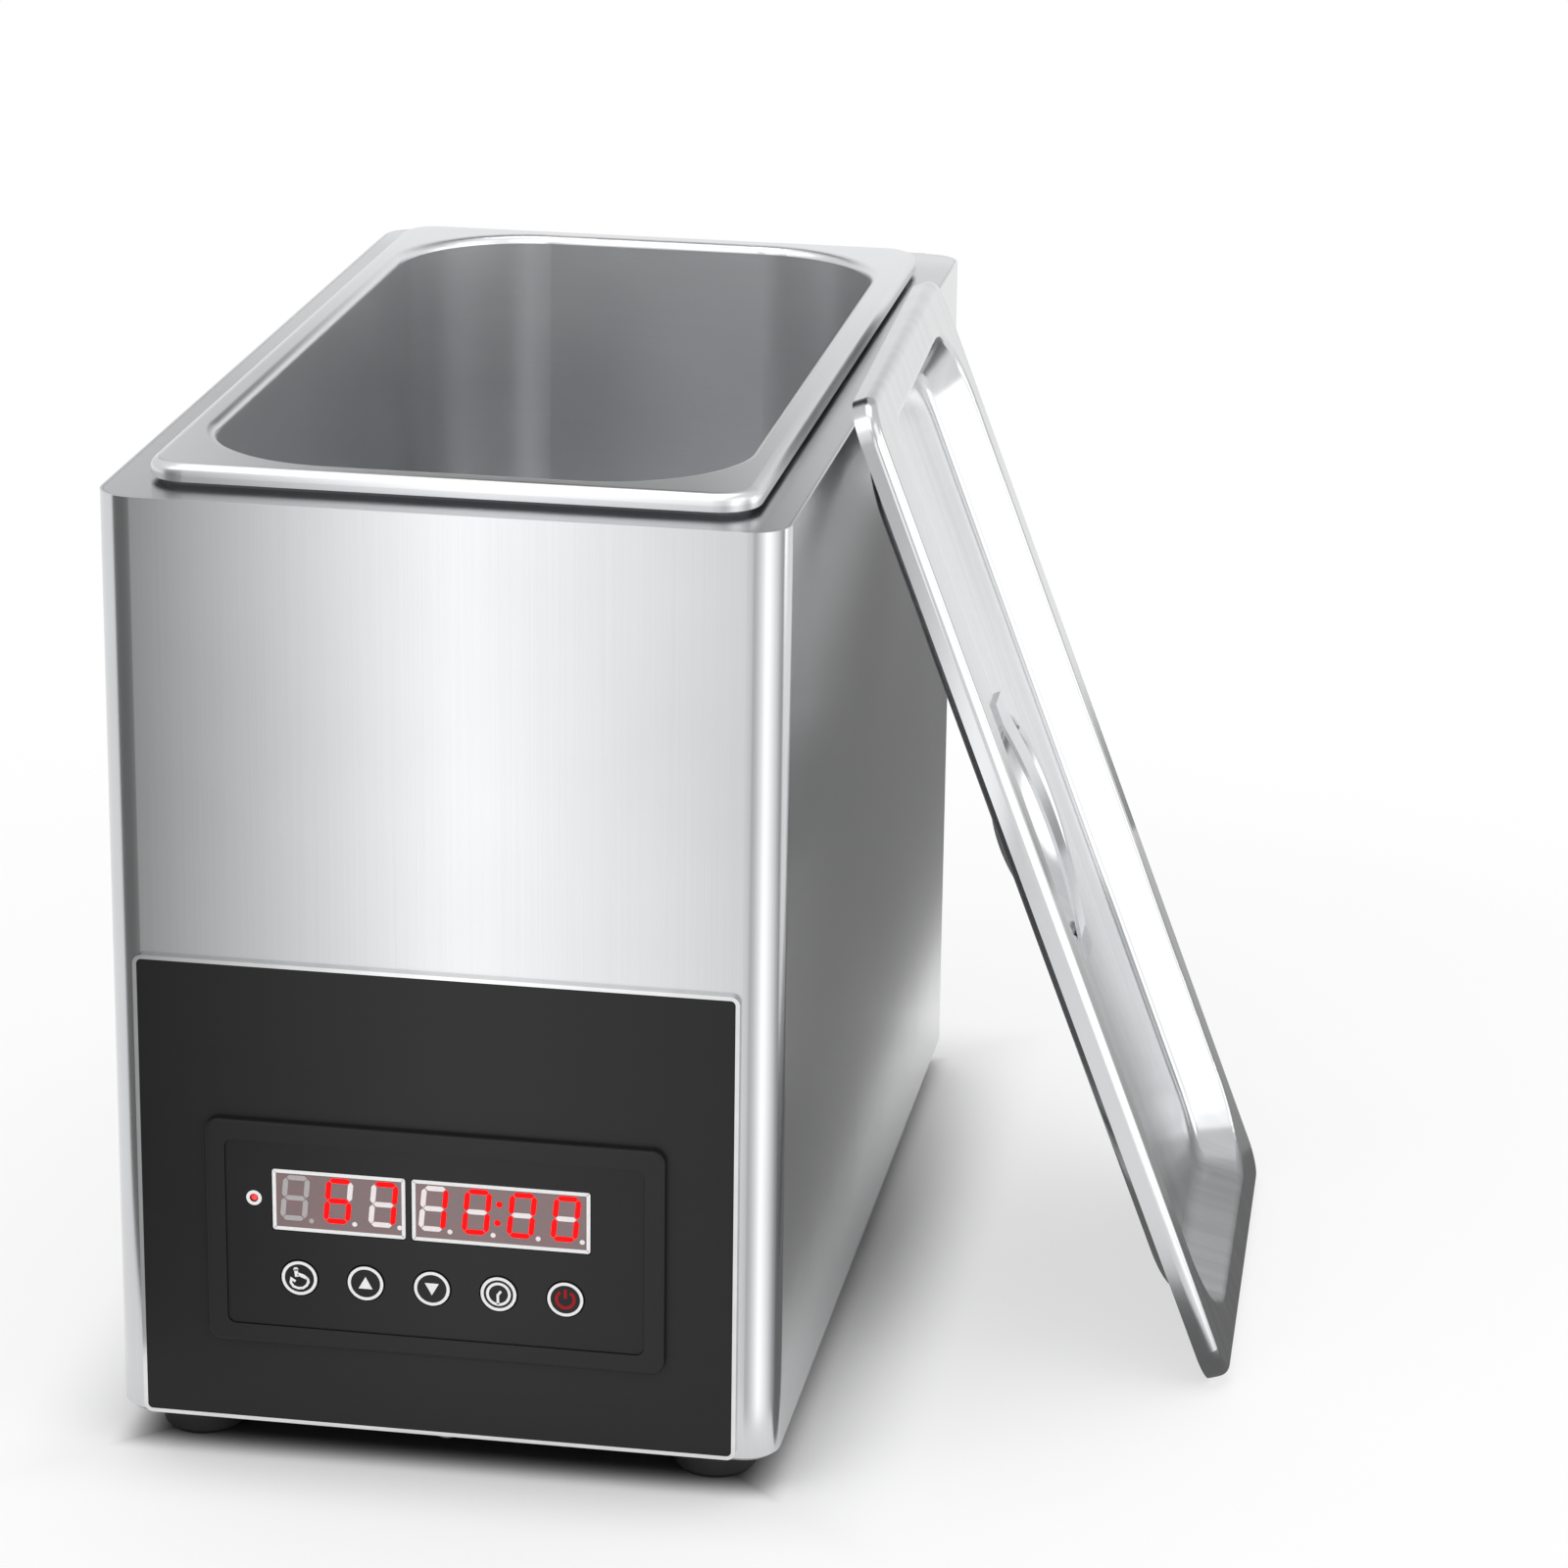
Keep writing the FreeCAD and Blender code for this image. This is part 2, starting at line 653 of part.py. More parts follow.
def make_base():
    # Flat base plate under the casing's flange, with vent slots, on screws with nuts above.
    plate_x = casing_width - 2 * base_inset
    plate_y = casing_depth - 2 * base_inset
    base = plate(plate_x, plate_y, casing_corner_radius - base_inset, base_underside, base_thickness)
    holes = [upward_hole(screw_hole_radius, x, y, base_underside, base_thickness)
             for x, y in base_screw_places() + foot_places() + standoff_places()]
    holes.append(upward_hole(stud_radius, earth_x, earth_y, base_underside, base_thickness))
    for y in grid(vent_slot_count, vent_slot_pitch, vent_slot_centre_y):
        holes.append(plate(vent_slot_length, vent_slot_width, vent_slot_corner,
                           base_underside - overshoot, base_thickness + 2 * overshoot, y=y))
    parts["base_plate"] = [base.cut(Part.makeCompound(holes))]

    screws = []
    nuts = []
    for x, y in base_screw_places():
        screws.append(pan_screw(x, y, base_underside, base_thickness + casing_sheet))
        nuts.append(hex_nut(x, y, casing_bottom + casing_sheet))
    parts["base_screws"] = screws
    parts["base_nuts"] = nuts


def pan_screw(x, y, seat_level, grip):
    # Screw pushed up from below: its head under the seat, its shank through the grip and a nut.
    head = rod(screw_head_radius, V(x, y, seat_level - screw_head_height), AXIS_Z, screw_head_height)
    head = head.makeFillet(screw_head_height / 2, level_edges(head, seat_level - screw_head_height))
    shank = rod(screw_radius, V(x, y, seat_level), AXIS_Z, grip + nut_height + screw_overrun)
    return head.fuse(shank).removeSplitter()


def hex_nut(x, y, level):
    nut = hexagon(nut_across_flats, nut_height, x, y, level)
    return nut.cut(upward_hole(screw_radius, x, y, level, nut_height))


def make_feet():
    feet = []
    screws = []
    nuts = []
    seat_level = base_underside - foot_web
    tip_radius = foot_radius - foot_taper
    for x, y in foot_places():
        feet.append(turned([
            (screw_hole_radius, base_underside), (screw_hole_radius, seat_level),
            (foot_recess_radius, seat_level), (foot_recess_radius + foot_taper / 2, 0.0),
            (tip_radius - foot_taper, 0.0), (tip_radius, foot_taper),
            (foot_radius, base_underside - foot_taper), (foot_radius - foot_taper / 2, base_underside),
        ], x, y, 0.0))
        screws.append(pan_screw(x, y, seat_level, foot_web + base_thickness))
        nuts.append(hex_nut(x, y, casing_bottom))
    parts["feet"] = feet
    parts["foot_screws"] = screws
    parts["foot_nuts"] = nuts


# ---------------------------------------------------------------- front panel and control module
def make_front_panel():
    centre_z = casing_bottom + trim_width + panel_height / 2
    panel = upright_plate(panel_width, panel_height, panel_corner_radius, panel_centre_x, centre_z,
                          panel_front, panel_thickness)
    parts["front_panel"] = [panel.cut(housing_cutout(panel_front, panel_thickness))]
    trim = upright_plate(
        panel_width + 2 * trim_width, panel_height + 2 * trim_width,
        panel_corner_radius + trim_width, panel_centre_x, centre_z,
        panel_front - trim_proud, panel_thickness + trim_proud,
    )
    window = upright_plate(
        panel_width, panel_height, panel_corner_radius, panel_centre_x, centre_z,
        panel_front - trim_proud - overshoot, panel_thickness + 2 * overshoot,
    )
    parts["panel_trim"] = [trim.cut(window)]


def key_places():
    middle = panel_centre_x + middle_key_x
    return [(x, key_level) for x in grid(len(key_names), key_pitch, middle)]


def display_window(width, x, margin, front, depth):
    return upright_plate(width + 2 * margin, display_height + 2 * margin, display_corner_radius, x,
                         display_level, front, depth)


def board_screw_places():
    reach_x = housing_width / 2 - housing_wall - board_edge_gap - board_screw_inset
    reach_z = housing_height / 2 - housing_wall - board_edge_gap - board_screw_inset
    centre_z = casing_bottom + bezel_centre_height
    return [(panel_centre_x + side_x * reach_x, centre_z + side_z * reach_z)
            for side_x in (-1, 1) for side_z in (-1, 1)]


def make_control_module():
    # Moulded housing: a bezel on the panel's face, a tub through the panel and the casing with
    # barbs that snap behind the sheet, and bosses for the board.
    centre_z = casing_bottom + bezel_centre_height
    bezel = upright_plate(bezel_width, bezel_height, bezel_corner_radius, panel_centre_x, centre_z,
                          bezel_front, bezel_thickness)
    bezel = bezel.makeFillet(bezel_edge_round, front_edges(bezel, bezel_front))
    recess_depth = overlay_below_bezel + overlay_thickness
    recess = upright_plate(recess_width, recess_height, recess_corner_radius, panel_centre_x, centre_z,
                           bezel_front - overshoot, recess_depth + overshoot)
    tub = upright_plate(housing_width, housing_height, recess_corner_radius, panel_centre_x, centre_z,
                        panel_front, housing_depth)
    tub_hollow = upright_plate(
        housing_width - 2 * housing_wall, housing_height - 2 * housing_wall, overshoot,
        panel_centre_x, centre_z, panel_front, housing_depth + overshoot,
    )
    housing = bezel.cut(recess).fuse(tub.cut(tub_hollow))
    boss_length = control_board_front - panel_front
    for x, z in board_screw_places():
        housing = housing.fuse(rod(board_screw_inset, V(x, panel_front, z), AXIS_Y, boss_length))
    barb_front = casing_front + casing_sheet + housing_clearance
    for side in (-1, 1):
        for x in grid(2, housing_width / 2, panel_centre_x):
            top = centre_z + side * housing_height / 2
            wedge = Part.Face(Part.makePolygon([
                V(x, barb_front, top), V(x, barb_front, top + side * barb_height),
                V(x, barb_front + 2 * barb_height, top), V(x, barb_front, top),
            ])).extrude(V(barb_length, 0, 0))
            wedge.translate(V(-barb_length / 2, 0, 0))
            housing = housing.fuse(wedge)
    openings = []
    for x, z in key_places():
        openings.append(rear_hole(key_radius + key_clearance, x, z, bezel_front, bezel_thickness))
    openings.append(rear_hole(led_radius + key_clearance, led_centre_x,
                              display_level, bezel_front, bezel_thickness))
    for width, x in ((temperature_width, temperature_centre_x), (timer_width, timer_centre_x)):
        openings.append(display_window(width, x, display_clearance, bezel_front - overshoot,
                                       bezel_thickness + 2 * overshoot))
    window_cut = Part.makeCompound(openings)
    boss_holes = [rod(screw_radius / 2, V(x, panel_front, z), AXIS_Y, boss_length + overshoot)
                  for x, z in board_screw_places()]
    housing = housing.cut(window_cut).cut(Part.makeCompound(boss_holes))
    parts["module_housing"] = [housing.removeSplitter()]

    overlay = upright_plate(
        recess_width - 2 * overlay_clearance, recess_height - 2 * overlay_clearance,
        recess_corner_radius - overlay_clearance, panel_centre_x, centre_z,
        overlay_front, overlay_thickness,
    )
    parts["module_overlay"] = [overlay.cut(window_cut)]


def make_displays():
    for name, width, x in (
        ("temperature_display", temperature_width, temperature_centre_x),
        ("timer_display", timer_width, timer_centre_x),
    ):
        body = display_window(width, x, 0.0, display_front, display_body_depth)
        parts[name] = [body]
    dome = Part.makeSphere(led_radius, V(led_centre_x, overlay_front + led_radius, display_level))
    barrel = rod(led_radius, V(led_centre_x, overlay_front + led_radius, display_level), AXIS_Y,
                 control_board_front - overlay_front - led_radius)
    collar_front = control_board_front - key_flange_thickness
    collar = rod(led_flange_radius, V(led_centre_x, collar_front, display_level), AXIS_Y,
                 key_flange_thickness)
    parts["heating_led"] = [barrel.fuse(dome).fuse(collar).removeSplitter()]


def make_keys():
    # Each key is a round button in a hole of the overlay, kept in by a flange behind the bezel,
    # over a small switch on the board.
    flange_front = panel_front + key_running_gap
    flange_radius = key_radius + key_flange_overlap
    flange_back = flange_front + key_flange_thickness
    button_front = overlay_front - key_proud
    switches = []
    for name, (x, z) in zip(key_names, key_places()):
        button = rod(key_radius, V(x, button_front, z), AXIS_Y, flange_front - button_front)
        button = button.makeFillet(key_proud, front_edges(button, button_front))
        flange = rod(flange_radius, V(x, flange_front, z), AXIS_Y, key_flange_thickness)
        parts[name] = [button.fuse(flange).removeSplitter()]
        half = switch_side / 2
        body = block(x - half, x + half, control_board_front - switch_body, control_board_front,
                     z - half, z + half)
        plunger_front = flange_back + key_travel + switch_spare_travel
        plunger = rod(switch_plunger_radius, V(x, plunger_front, z), AXIS_Y,
                      control_board_front - switch_body - plunger_front)
        switches.append(body.fuse(plunger).removeSplitter())
    parts["key_switches"] = switches


def make_control_board():
    centre_z = casing_bottom + bezel_centre_height
    edge = 2 * (housing_wall + board_edge_gap)
    board = upright_plate(housing_width - edge, housing_height - edge, overshoot, panel_centre_x,
                          centre_z, control_board_front, board_thickness)
    holes = [rear_hole(screw_radius / 2 + screw_hole_clearance, x, z, control_board_front, board_thickness)
             for x, z in board_screw_places()]
    parts["control_board"] = [board.cut(Part.makeCompound(holes))]
    screws = []
    board_back = control_board_front + board_thickness
    for x, z in board_screw_places():
        head = rod(screw_radius, V(x, board_back, z), AXIS_Y, screw_radius)
        length = board_thickness + panel_thickness + housing_wall
        shank = rod(screw_radius / 2, V(x, board_back - length, z), AXIS_Y, length)
        screws.append(head.fuse(shank).removeSplitter())
    parts["board_screws"] = screws


# ---------------------------------------------------------------- mains inlet
def inlet_outline(width, height, front, depth):
    # Rectangle with its two upper corners cut off, which keys the plug.
    left, right = inlet_centre_x - width / 2, inlet_centre_x + width / 2
    low, high = inlet_level - height / 2, inlet_level + height / 2
    cut = inlet_chamfer
    outline = [(left, low), (right, low), (right, high - cut), (right - cut, high),
               (left + cut, high), (left, high - cut), (left, low)]
    face = Part.Face(Part.makePolygon([V(x, front, z) for x, z in outline]))
    return face.extrude(V(0, depth, 0))


def make_inlet():
    flange_back = back_outside + inlet_flange_thickness
    flange = upright_plate(inlet_flange_width, inlet_flange_height, bezel_corner_radius,
                           inlet_centre_x, inlet_level, back_outside, inlet_flange_thickness)
    body_depth = inlet_socket_depth + inlet_floor - inlet_flange_thickness
    body = inlet_outline(inlet_body_width, inlet_body_height, back_outside - body_depth, body_depth)
    socket_floor = flange_back - inlet_socket_depth
    socket = inlet_outline(inlet_socket_width, inlet_socket_height, socket_floor,
                           inlet_socket_depth + overshoot)
    inlet = flange.fuse(body).cut(socket)
    pins = []
    rear = socket_floor - inlet_floor - inlet_tab_length
    for offset_x, rise in ((-inlet_pin_spacing / 2, 0.0), (inlet_pin_spacing / 2, 0.0),
                           (0.0, inlet_earth_rise)):
        x = inlet_centre_x + offset_x
        z = inlet_level + rise - inlet_earth_rise / 2
        blade = block(x - inlet_pin_thickness / 2, x + inlet_pin_thickness / 2,
                      socket_floor - inlet_floor, socket_floor + inlet_pin_length,
                      z - inlet_pin_width / 2, z + inlet_pin_width / 2)
        tab = block(x - inlet_tab_thickness / 2, x + inlet_tab_thickness / 2, rear,
                    socket_floor - inlet_floor, z - inlet_pin_width / 2, z + inlet_pin_width / 2)
        pins.append(blade.fuse(tab).removeSplitter())
    for pin in pins:
        inlet = inlet.cut(pin)
    screw_x = grid(2, inlet_screw_spacing, inlet_centre_x)
    holes = [rear_hole(screw_hole_radius, x, inlet_level, back_outside, inlet_flange_thickness)
             for x in screw_x]
    parts["power_inlet"] = [inlet.cut(Part.makeCompound(holes)).removeSplitter()]
    parts["inlet_pins"] = pins
    screws = []
    for x in screw_x:
        head = rod(screw_head_radius, V(x, flange_back, inlet_level), AXIS_Y, screw_head_height)
        head = head.makeFillet(screw_head_height / 2, front_edges(head, flange_back + screw_head_height))
        length = inlet_flange_thickness + casing_sheet + nut_height + screw_overrun
        shank = rod(screw_radius, V(x, flange_back - length, inlet_level), AXIS_Y, length)
        screws.append(head.fuse(shank).removeSplitter())
    parts["inlet_screws"] = screws


# ---------------------------------------------------------------- heater under the tank
def stud_places():
    y = clamp_length / 2 - stud_inset_y
    return [(side_x * stud_offset_x, tank_centre_y + side_y * y)
            for side_x in (-1, 1) for side_y in (-1, 1)]


def make_heater():
    heater_level = tank_underside - heater_thickness
    pad_level = heater_level - pad_thickness
    clamp_level = pad_level - clamp_sheet
    parts["heater_plate"] = [plate(heater_width, heater_length, heater_corner_radius, heater_level,
                                   heater_thickness, y=tank_centre_y)]
    parts["heater_pad"] = [plate(heater_width, heater_length, heater_corner_radius, pad_level,
                                 pad_thickness, y=tank_centre_y)]
    clamp = plate(clamp_width, clamp_length, heater_corner_radius, clamp_level, clamp_sheet,
                  y=tank_centre_y)
    lip = ring(clamp_width, clamp_length, heater_corner_radius, clamp_sheet,
               clamp_level - clamp_lip, clamp_lip, y=tank_centre_y)
    clamp = clamp.fuse(lip).removeSplitter()
    holes = [upward_hole(stud_radius + screw_hole_clearance, x, y, clamp_level, clamp_sheet)
             for x, y in stud_places()]
    bushing_y = tank_centre_y - clamp_length / 2 + stud_inset_y
    bushing_x = grid(2, bushing_spacing)
    holes += [upward_hole(terminal_radius + screw_hole_clearance, x, bushing_y, clamp_level, clamp_sheet)
              for x in bushing_x]
    parts["heater_clamp"] = [clamp.cut(Part.makeCompound(holes))]
    stud_length = tank_underside - clamp_level + stud_nut_height + stud_overrun
    parts["heater_studs"] = [
        rod(stud_radius, V(x, y, tank_underside - stud_length), AXIS_Z, stud_length)
        for x, y in stud_places()
    ]
    nut_level = clamp_level - stud_nut_height
    parts["heater_nuts"] = [
        hexagon(stud_nut_flats, stud_nut_height, x, y, nut_level).cut(
            upward_hole(stud_radius, x, y, nut_level, stud_nut_height))
        for x, y in stud_places()
    ]
    bushings = []
    pins = []
    for x in bushing_x:
        bushing = rod(bushing_radius, V(x, bushing_y, clamp_level - bushing_height), AXIS_Z, bushing_height)
        pin_low = clamp_level - bushing_height - terminal_length
        pin = rod(terminal_radius, V(x, bushing_y, pin_low), AXIS_Z,
                  bushing_height + terminal_length + clamp_sheet)
        bushings.append(bushing.cut(pin))
        pins.append(pin)
    parts["heater_bushings"] = bushings
    parts["heater_terminals"] = pins


def make_sensors():
    # Temperature probe across the tank's underside in a saddle clip, and a round cut-out behind.
    probe_y = tank_centre_y - probe_offset_y
    probe_z = tank_underside - probe_radius
    parts["temperature_probe"] = [rod(probe_radius, V(-probe_length / 2, probe_y, probe_z), AXIS_X,
                                      probe_length)]
    outer = probe_radius + clip_sheet
    saddle = rod(outer, V(-clip_width / 2, probe_y, probe_z), AXIS_X, clip_width)
    saddle = saddle.fuse(block(-clip_width / 2, clip_width / 2, probe_y - outer, probe_y + outer,
                               probe_z, tank_underside))
    feet = block(-clip_width / 2, clip_width / 2, probe_y - outer - clip_foot / 2,
                 probe_y + outer + clip_foot / 2, tank_underside - clip_sheet, tank_underside)
    saddle = saddle.fuse(feet)
    channel = rod(probe_radius, V(-probe_length, probe_y, probe_z), AXIS_X, 2 * probe_length)
    channel = channel.fuse(block(-probe_length, probe_length, probe_y - probe_radius,
                                 probe_y + probe_radius, probe_z, tank_underside + overshoot))
    parts["probe_clip"] = [saddle.cut(channel).removeSplitter()]

    cutout_y = tank_centre_y + probe_offset_y
    flange = rod(thermostat_flange_radius,
                 V(0, cutout_y, tank_underside - thermostat_flange_thickness), AXIS_Z,
                 thermostat_flange_thickness)
    can = rod(thermostat_radius,
              V(0, cutout_y, tank_underside - thermostat_flange_thickness - thermostat_height), AXIS_Z,
              thermostat_height)
    parts["overheat_cutout"] = [flange.fuse(can).removeSplitter()]


def make_insulation():
    # Felt blanket round the tank's walls, tight on them at its upper edge.
    low = tank_underside + insulation_above_floor
    high = ledge_level - insulation_below_ledge
    narrowing = tank_taper * (flange_top - high) / tank_depth
    grow = 2 * (insulation_gap + insulation_thickness - narrowing)
    parts["tank_insulation"] = [ring(
        tank_outer_width + grow, tank_outer_length + grow,
        tank_outer_radius + grow / 2, insulation_thickness, low, high - low, y=tank_centre_y,
    )]


# ---------------------------------------------------------------- power electronics on the base
def standoff_places():
    x = board_width / 2 - standoff_inset
    y = board_length / 2 - standoff_inset
    return [(board_centre_x + side_x * x, board_centre_y + side_y * y)
            for side_x in (-1, 1) for side_y in (-1, 1)]


def make_power_board():
    board_level = casing_bottom + standoff_height
    board_top = board_level + board_thickness
    board = plate(board_width, board_length, panel_corner_radius, board_level, board_thickness,
                  board_centre_x, board_centre_y)
    holes = [upward_hole(screw_hole_radius, x, y, board_level, board_thickness)
             for x, y in standoff_places()]
    parts["power_board"] = [board.cut(Part.makeCompound(holes))]
    parts["board_standoffs"] = [
        rod(standoff_radius, V(x, y, casing_bottom), AXIS_Z, standoff_height).cut(
            upward_hole(screw_radius, x, y, casing_bottom, standoff_height))
        for x, y in standoff_places()
    ]
    grip = base_thickness + standoff_height + board_thickness
    parts["standoff_screws"] = [pan_screw(x, y, base_underside, grip) for x, y in standoff_places()]
    parts["standoff_nuts"] = [hex_nut(x, y, board_top) for x, y in standoff_places()]

    core_x = board_centre_x + transformer_x
    core_y = board_centre_y + transformer_y
    half_x, half_y = core_width / 2, core_depth / 2
    core = block(core_x - half_x, core_x + half_x, core_y - half_y, core_y + half_y,
                 board_top, board_top + core_height)
    half_winding = half_x - winding_margin
    winding = block(core_x - half_winding, core_x + half_winding,
                    core_y - winding_depth / 2, core_y + winding_depth / 2,
                    board_top + winding_margin, board_top + core_height - winding_margin)
    rounded = [edge for edge in winding.Edges if edge.BoundBox.ZLength > winding_margin]
    winding = winding.makeFillet(winding_margin / 2, rounded)
    parts["transformer_core"] = [core.cut(winding)]
    parts["transformer_winding"] = [winding]

    place_x = board_centre_x + relay_x
    place_y = board_centre_y + relay_y
    relay = block(place_x - relay_width / 2, place_x + relay_width / 2,
                  place_y - relay_depth / 2, place_y + relay_depth / 2,
                  board_top, board_top + relay_height)
    relay = relay.makeChamfer(panel_corner_radius / 2, level_edges(relay, board_top + relay_height))
    parts["heater_relay"] = [relay]

    place_x = board_centre_x + block_x
    place_y = board_centre_y + block_y
    terminal = block(place_x - block_width / 2, place_x + block_width / 2,
                     place_y - block_depth / 2, place_y + block_depth / 2,
                     board_top, board_top + block_height)
    way_pitch = block_width / block_ways
    screw_floor = board_top + block_height / 2
    wire_level = board_top + block_wire_height
    for x in grid(block_ways, way_pitch, place_x):
        terminal = terminal.cut(rod(block_way_radius, V(x, place_y, screw_floor), AXIS_Z, block_height))
        terminal = terminal.cut(rod(block_way_radius, V(x, place_y - block_depth, wire_level),
                                    AXIS_Y, block_depth))
    parts["terminal_block"] = [terminal]

    place_x = board_centre_x + fuse_x
    place_y = board_centre_y + fuse_y
    centre_z = board_top + fuse_clip_height - fuse_radius
    fuse = rod(fuse_radius, V(place_x - fuse_length / 2, place_y, centre_z), AXIS_X, fuse_length)
    clips = []
    for x in (place_x - fuse_length / 2, place_x + fuse_length / 2 - fuse_clip_width):
        clip = block(x, x + fuse_clip_width, place_y - fuse_radius - clip_sheet,
                     place_y + fuse_radius + clip_sheet, board_top, board_top + fuse_clip_height)
        slot = block(x - overshoot, x + fuse_clip_width + overshoot, place_y - fuse_radius,
                     place_y + fuse_radius, centre_z, board_top + 2 * fuse_clip_height)
        clips.append(clip.cut(slot).cut(fuse))
    parts["fuse"] = [fuse]
    parts["fuse_clips"] = clips

    stud = rod(stud_radius, V(earth_x, earth_y, base_underside), AXIS_Z, earth_stud_height)
    parts["earth_stud"] = [stud]
    nut = hexagon(stud_nut_flats, stud_nut_height, earth_x, earth_y, casing_bottom)
    parts["earth_nut"] = [nut.cut(upward_hole(stud_radius, earth_x, earth_y, casing_bottom, stud_nut_height))]


# ---------------------------------------------------------------- lid
def dish_solid(offset):
    # Shallow round dish below the lid's floor, made of a ball-shaped bottom that runs into an
    # outward bend tangent to the floor. An offset of one sheet gives the underside.
    ball_radius = (dish_radius ** 2 + dish_depth ** 2 - 2 * dish_depth * dish_bend_radius) / (2 * dish_depth)
    ball_centre = V(0, 0, ball_radius - dish_depth)
    bend_centre = V(dish_radius, 0, -dish_bend_radius)
    towards_bend = bend_centre.sub(ball_centre).normalize()
    ball = ball_radius + offset
    bend = dish_bend_radius - offset
    meeting = ball_centre + towards_bend * ball
    half_angle = math.atan2(towards_bend.x, -towards_bend.z) / 2
    ball_middle = ball_centre + V(ball * math.sin(half_angle), 0, -ball * math.cos(half_angle))
    bottom = ball_centre + V(0, 0, -ball)
    bend_top = bend_centre + V(0, 0, bend)
    bend_middle = bend_centre + (V(0, 0, 1) - towards_bend).normalize() * bend
    profile = Part.Wire([
        Part.Arc(bottom, ball_middle, meeting).toShape(),
        Part.Arc(meeting, bend_middle, bend_top).toShape(),
        Part.makeLine(bend_top, V(0, 0, bend_top.z)),
        Part.makeLine(V(0, 0, bend_top.z), bottom),
    ])
    return Part.Face(profile).revolve(V(0, 0, 0), AXIS_Z, 360)


def flat_lid():
    # Lid lying flat with the top of its rim at z = 0 and its length along X, and its handle strap.
    lid = pressed_pan(
        lid_length, lid_width, lid_corner_radius, lid_rim_radius, lid_rim_drop, lid_strip,
        lid_recess_radius, lid_recess_depth, lid_recess_taper, lid_floor_radius,
        lid_bend_radius, lid_sheet,
    )
    floor = V(0, 0, -lid_recess_depth)
    underside = dish_solid(lid_sheet)
    underside.translate(floor)
    dish = dish_solid(0.0)
    dish.translate(floor)
    lid = lid.fuse(underside).cut(dish)

    reach = dish_radius
    high = -lid_recess_depth
    rise = strap_rise
    tab_end = reach + strap_tab
    thick = strap_thickness
    outline = Part.Wire([
        Part.makeLine(V(-tab_end, 0, high), V(-reach, 0, high)),
        Part.Arc(V(-reach, 0, high), V(0, 0, high + rise), V(reach, 0, high)).toShape(),
        Part.makeLine(V(reach, 0, high), V(tab_end, 0, high)),
        Part.makeLine(V(tab_end, 0, high), V(tab_end, 0, high + thick)),
        Part.makeLine(V(tab_end, 0, high + thick), V(reach, 0, high + thick)),
        Part.Arc(V(reach, 0, high + thick), V(0, 0, high + rise + thick),
                 V(-reach, 0, high + thick)).toShape(),
        Part.makeLine(V(-reach, 0, high + thick), V(-tab_end, 0, high + thick)),
        Part.makeLine(V(-tab_end, 0, high + thick), V(-tab_end, 0, high)),
    ])
    strap = Part.Face(outline).extrude(V(0, strap_width, 0))
    strap.translate(V(0, -strap_width / 2, 0))
    return lid, strap


def make_lid():
    # The lid stands on its short end, turned a little, and leans on the casing's top edge: it is
    # slid towards the casing until only the seat gap is left.
    lid, strap = flat_lid()
    angle = math.radians(lid_lean)
    height = lid_length / 2 * math.sin(angle) + lid_rim_drop * math.cos(angle)
    start_x = casing_width / 2 + lid_length
    for piece in (lid, strap):
        piece.rotate(V(0, 0, 0), AXIS_Y, lid_lean)
        piece.rotate(V(0, 0, 0), AXIS_Z, lid_yaw)
        piece.translate(V(start_x, lid_centre_y, height))
    casing = plate(casing_width, casing_depth, casing_corner_radius, casing_bottom, casing_height)
    flange = plate(flange_width, flange_length, flange_corner_radius, ledge_level, flange_height,
                   y=tank_centre_y)
    stop = Part.makeCompound([casing, flange])
    slide_steps = 12
    for _ in range(slide_steps):
        gap = lid.distToShape(stop)[0] - lid_seat_gap
        lid.translate(V(-gap, 0, 0))
        strap.translate(V(-gap, 0, 0))
    parts["lid"] = [lid]
    parts["lid_handle"] = [strap]


make_tank()
make_hold_downs()
make_casing()
make_top_frame()
make_back_panel()
make_base()
make_feet()
make_front_panel()
make_control_module()
make_displays()
make_keys()
make_control_board()
make_inlet()
make_heater()
make_sensors()
make_insulation()
make_power_board()
make_lid()

os.makedirs("parts", exist_ok=True)
for name, solids in parts.items():
    shape = solids[0] if len(solids) == 1 else Part.makeCompound(solids)
    shape.exportStep(f"parts/{name}.step")
    box = shape.BoundBox
    print(f"{name}: {len(shape.Solids)} solids, valid {shape.isValid()}, volume {shape.Volume:.1f}, "
          f"x {box.XMin:.2f} {box.XMax:.2f} y {box.YMin:.2f} {box.YMax:.2f} z {box.ZMin:.2f} {box.ZMax:.2f}")
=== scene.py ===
# Looks of a counter-top egg boiler: steel casing and tank, black control panel, pressed lid.
# Metres, origin on the bench under the middle of the casing, +X right, +Y back, +Z up.
import json
import math

import bpy
import numpy as np
from mathutils import Matrix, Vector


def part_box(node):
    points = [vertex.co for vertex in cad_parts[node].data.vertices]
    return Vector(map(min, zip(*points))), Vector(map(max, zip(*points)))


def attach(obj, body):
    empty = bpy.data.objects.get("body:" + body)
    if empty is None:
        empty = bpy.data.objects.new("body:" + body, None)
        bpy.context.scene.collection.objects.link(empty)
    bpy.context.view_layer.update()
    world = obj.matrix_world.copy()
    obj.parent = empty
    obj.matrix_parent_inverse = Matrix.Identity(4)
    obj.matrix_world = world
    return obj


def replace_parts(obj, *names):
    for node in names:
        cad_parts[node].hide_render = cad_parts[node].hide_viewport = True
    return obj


mm = 0.001

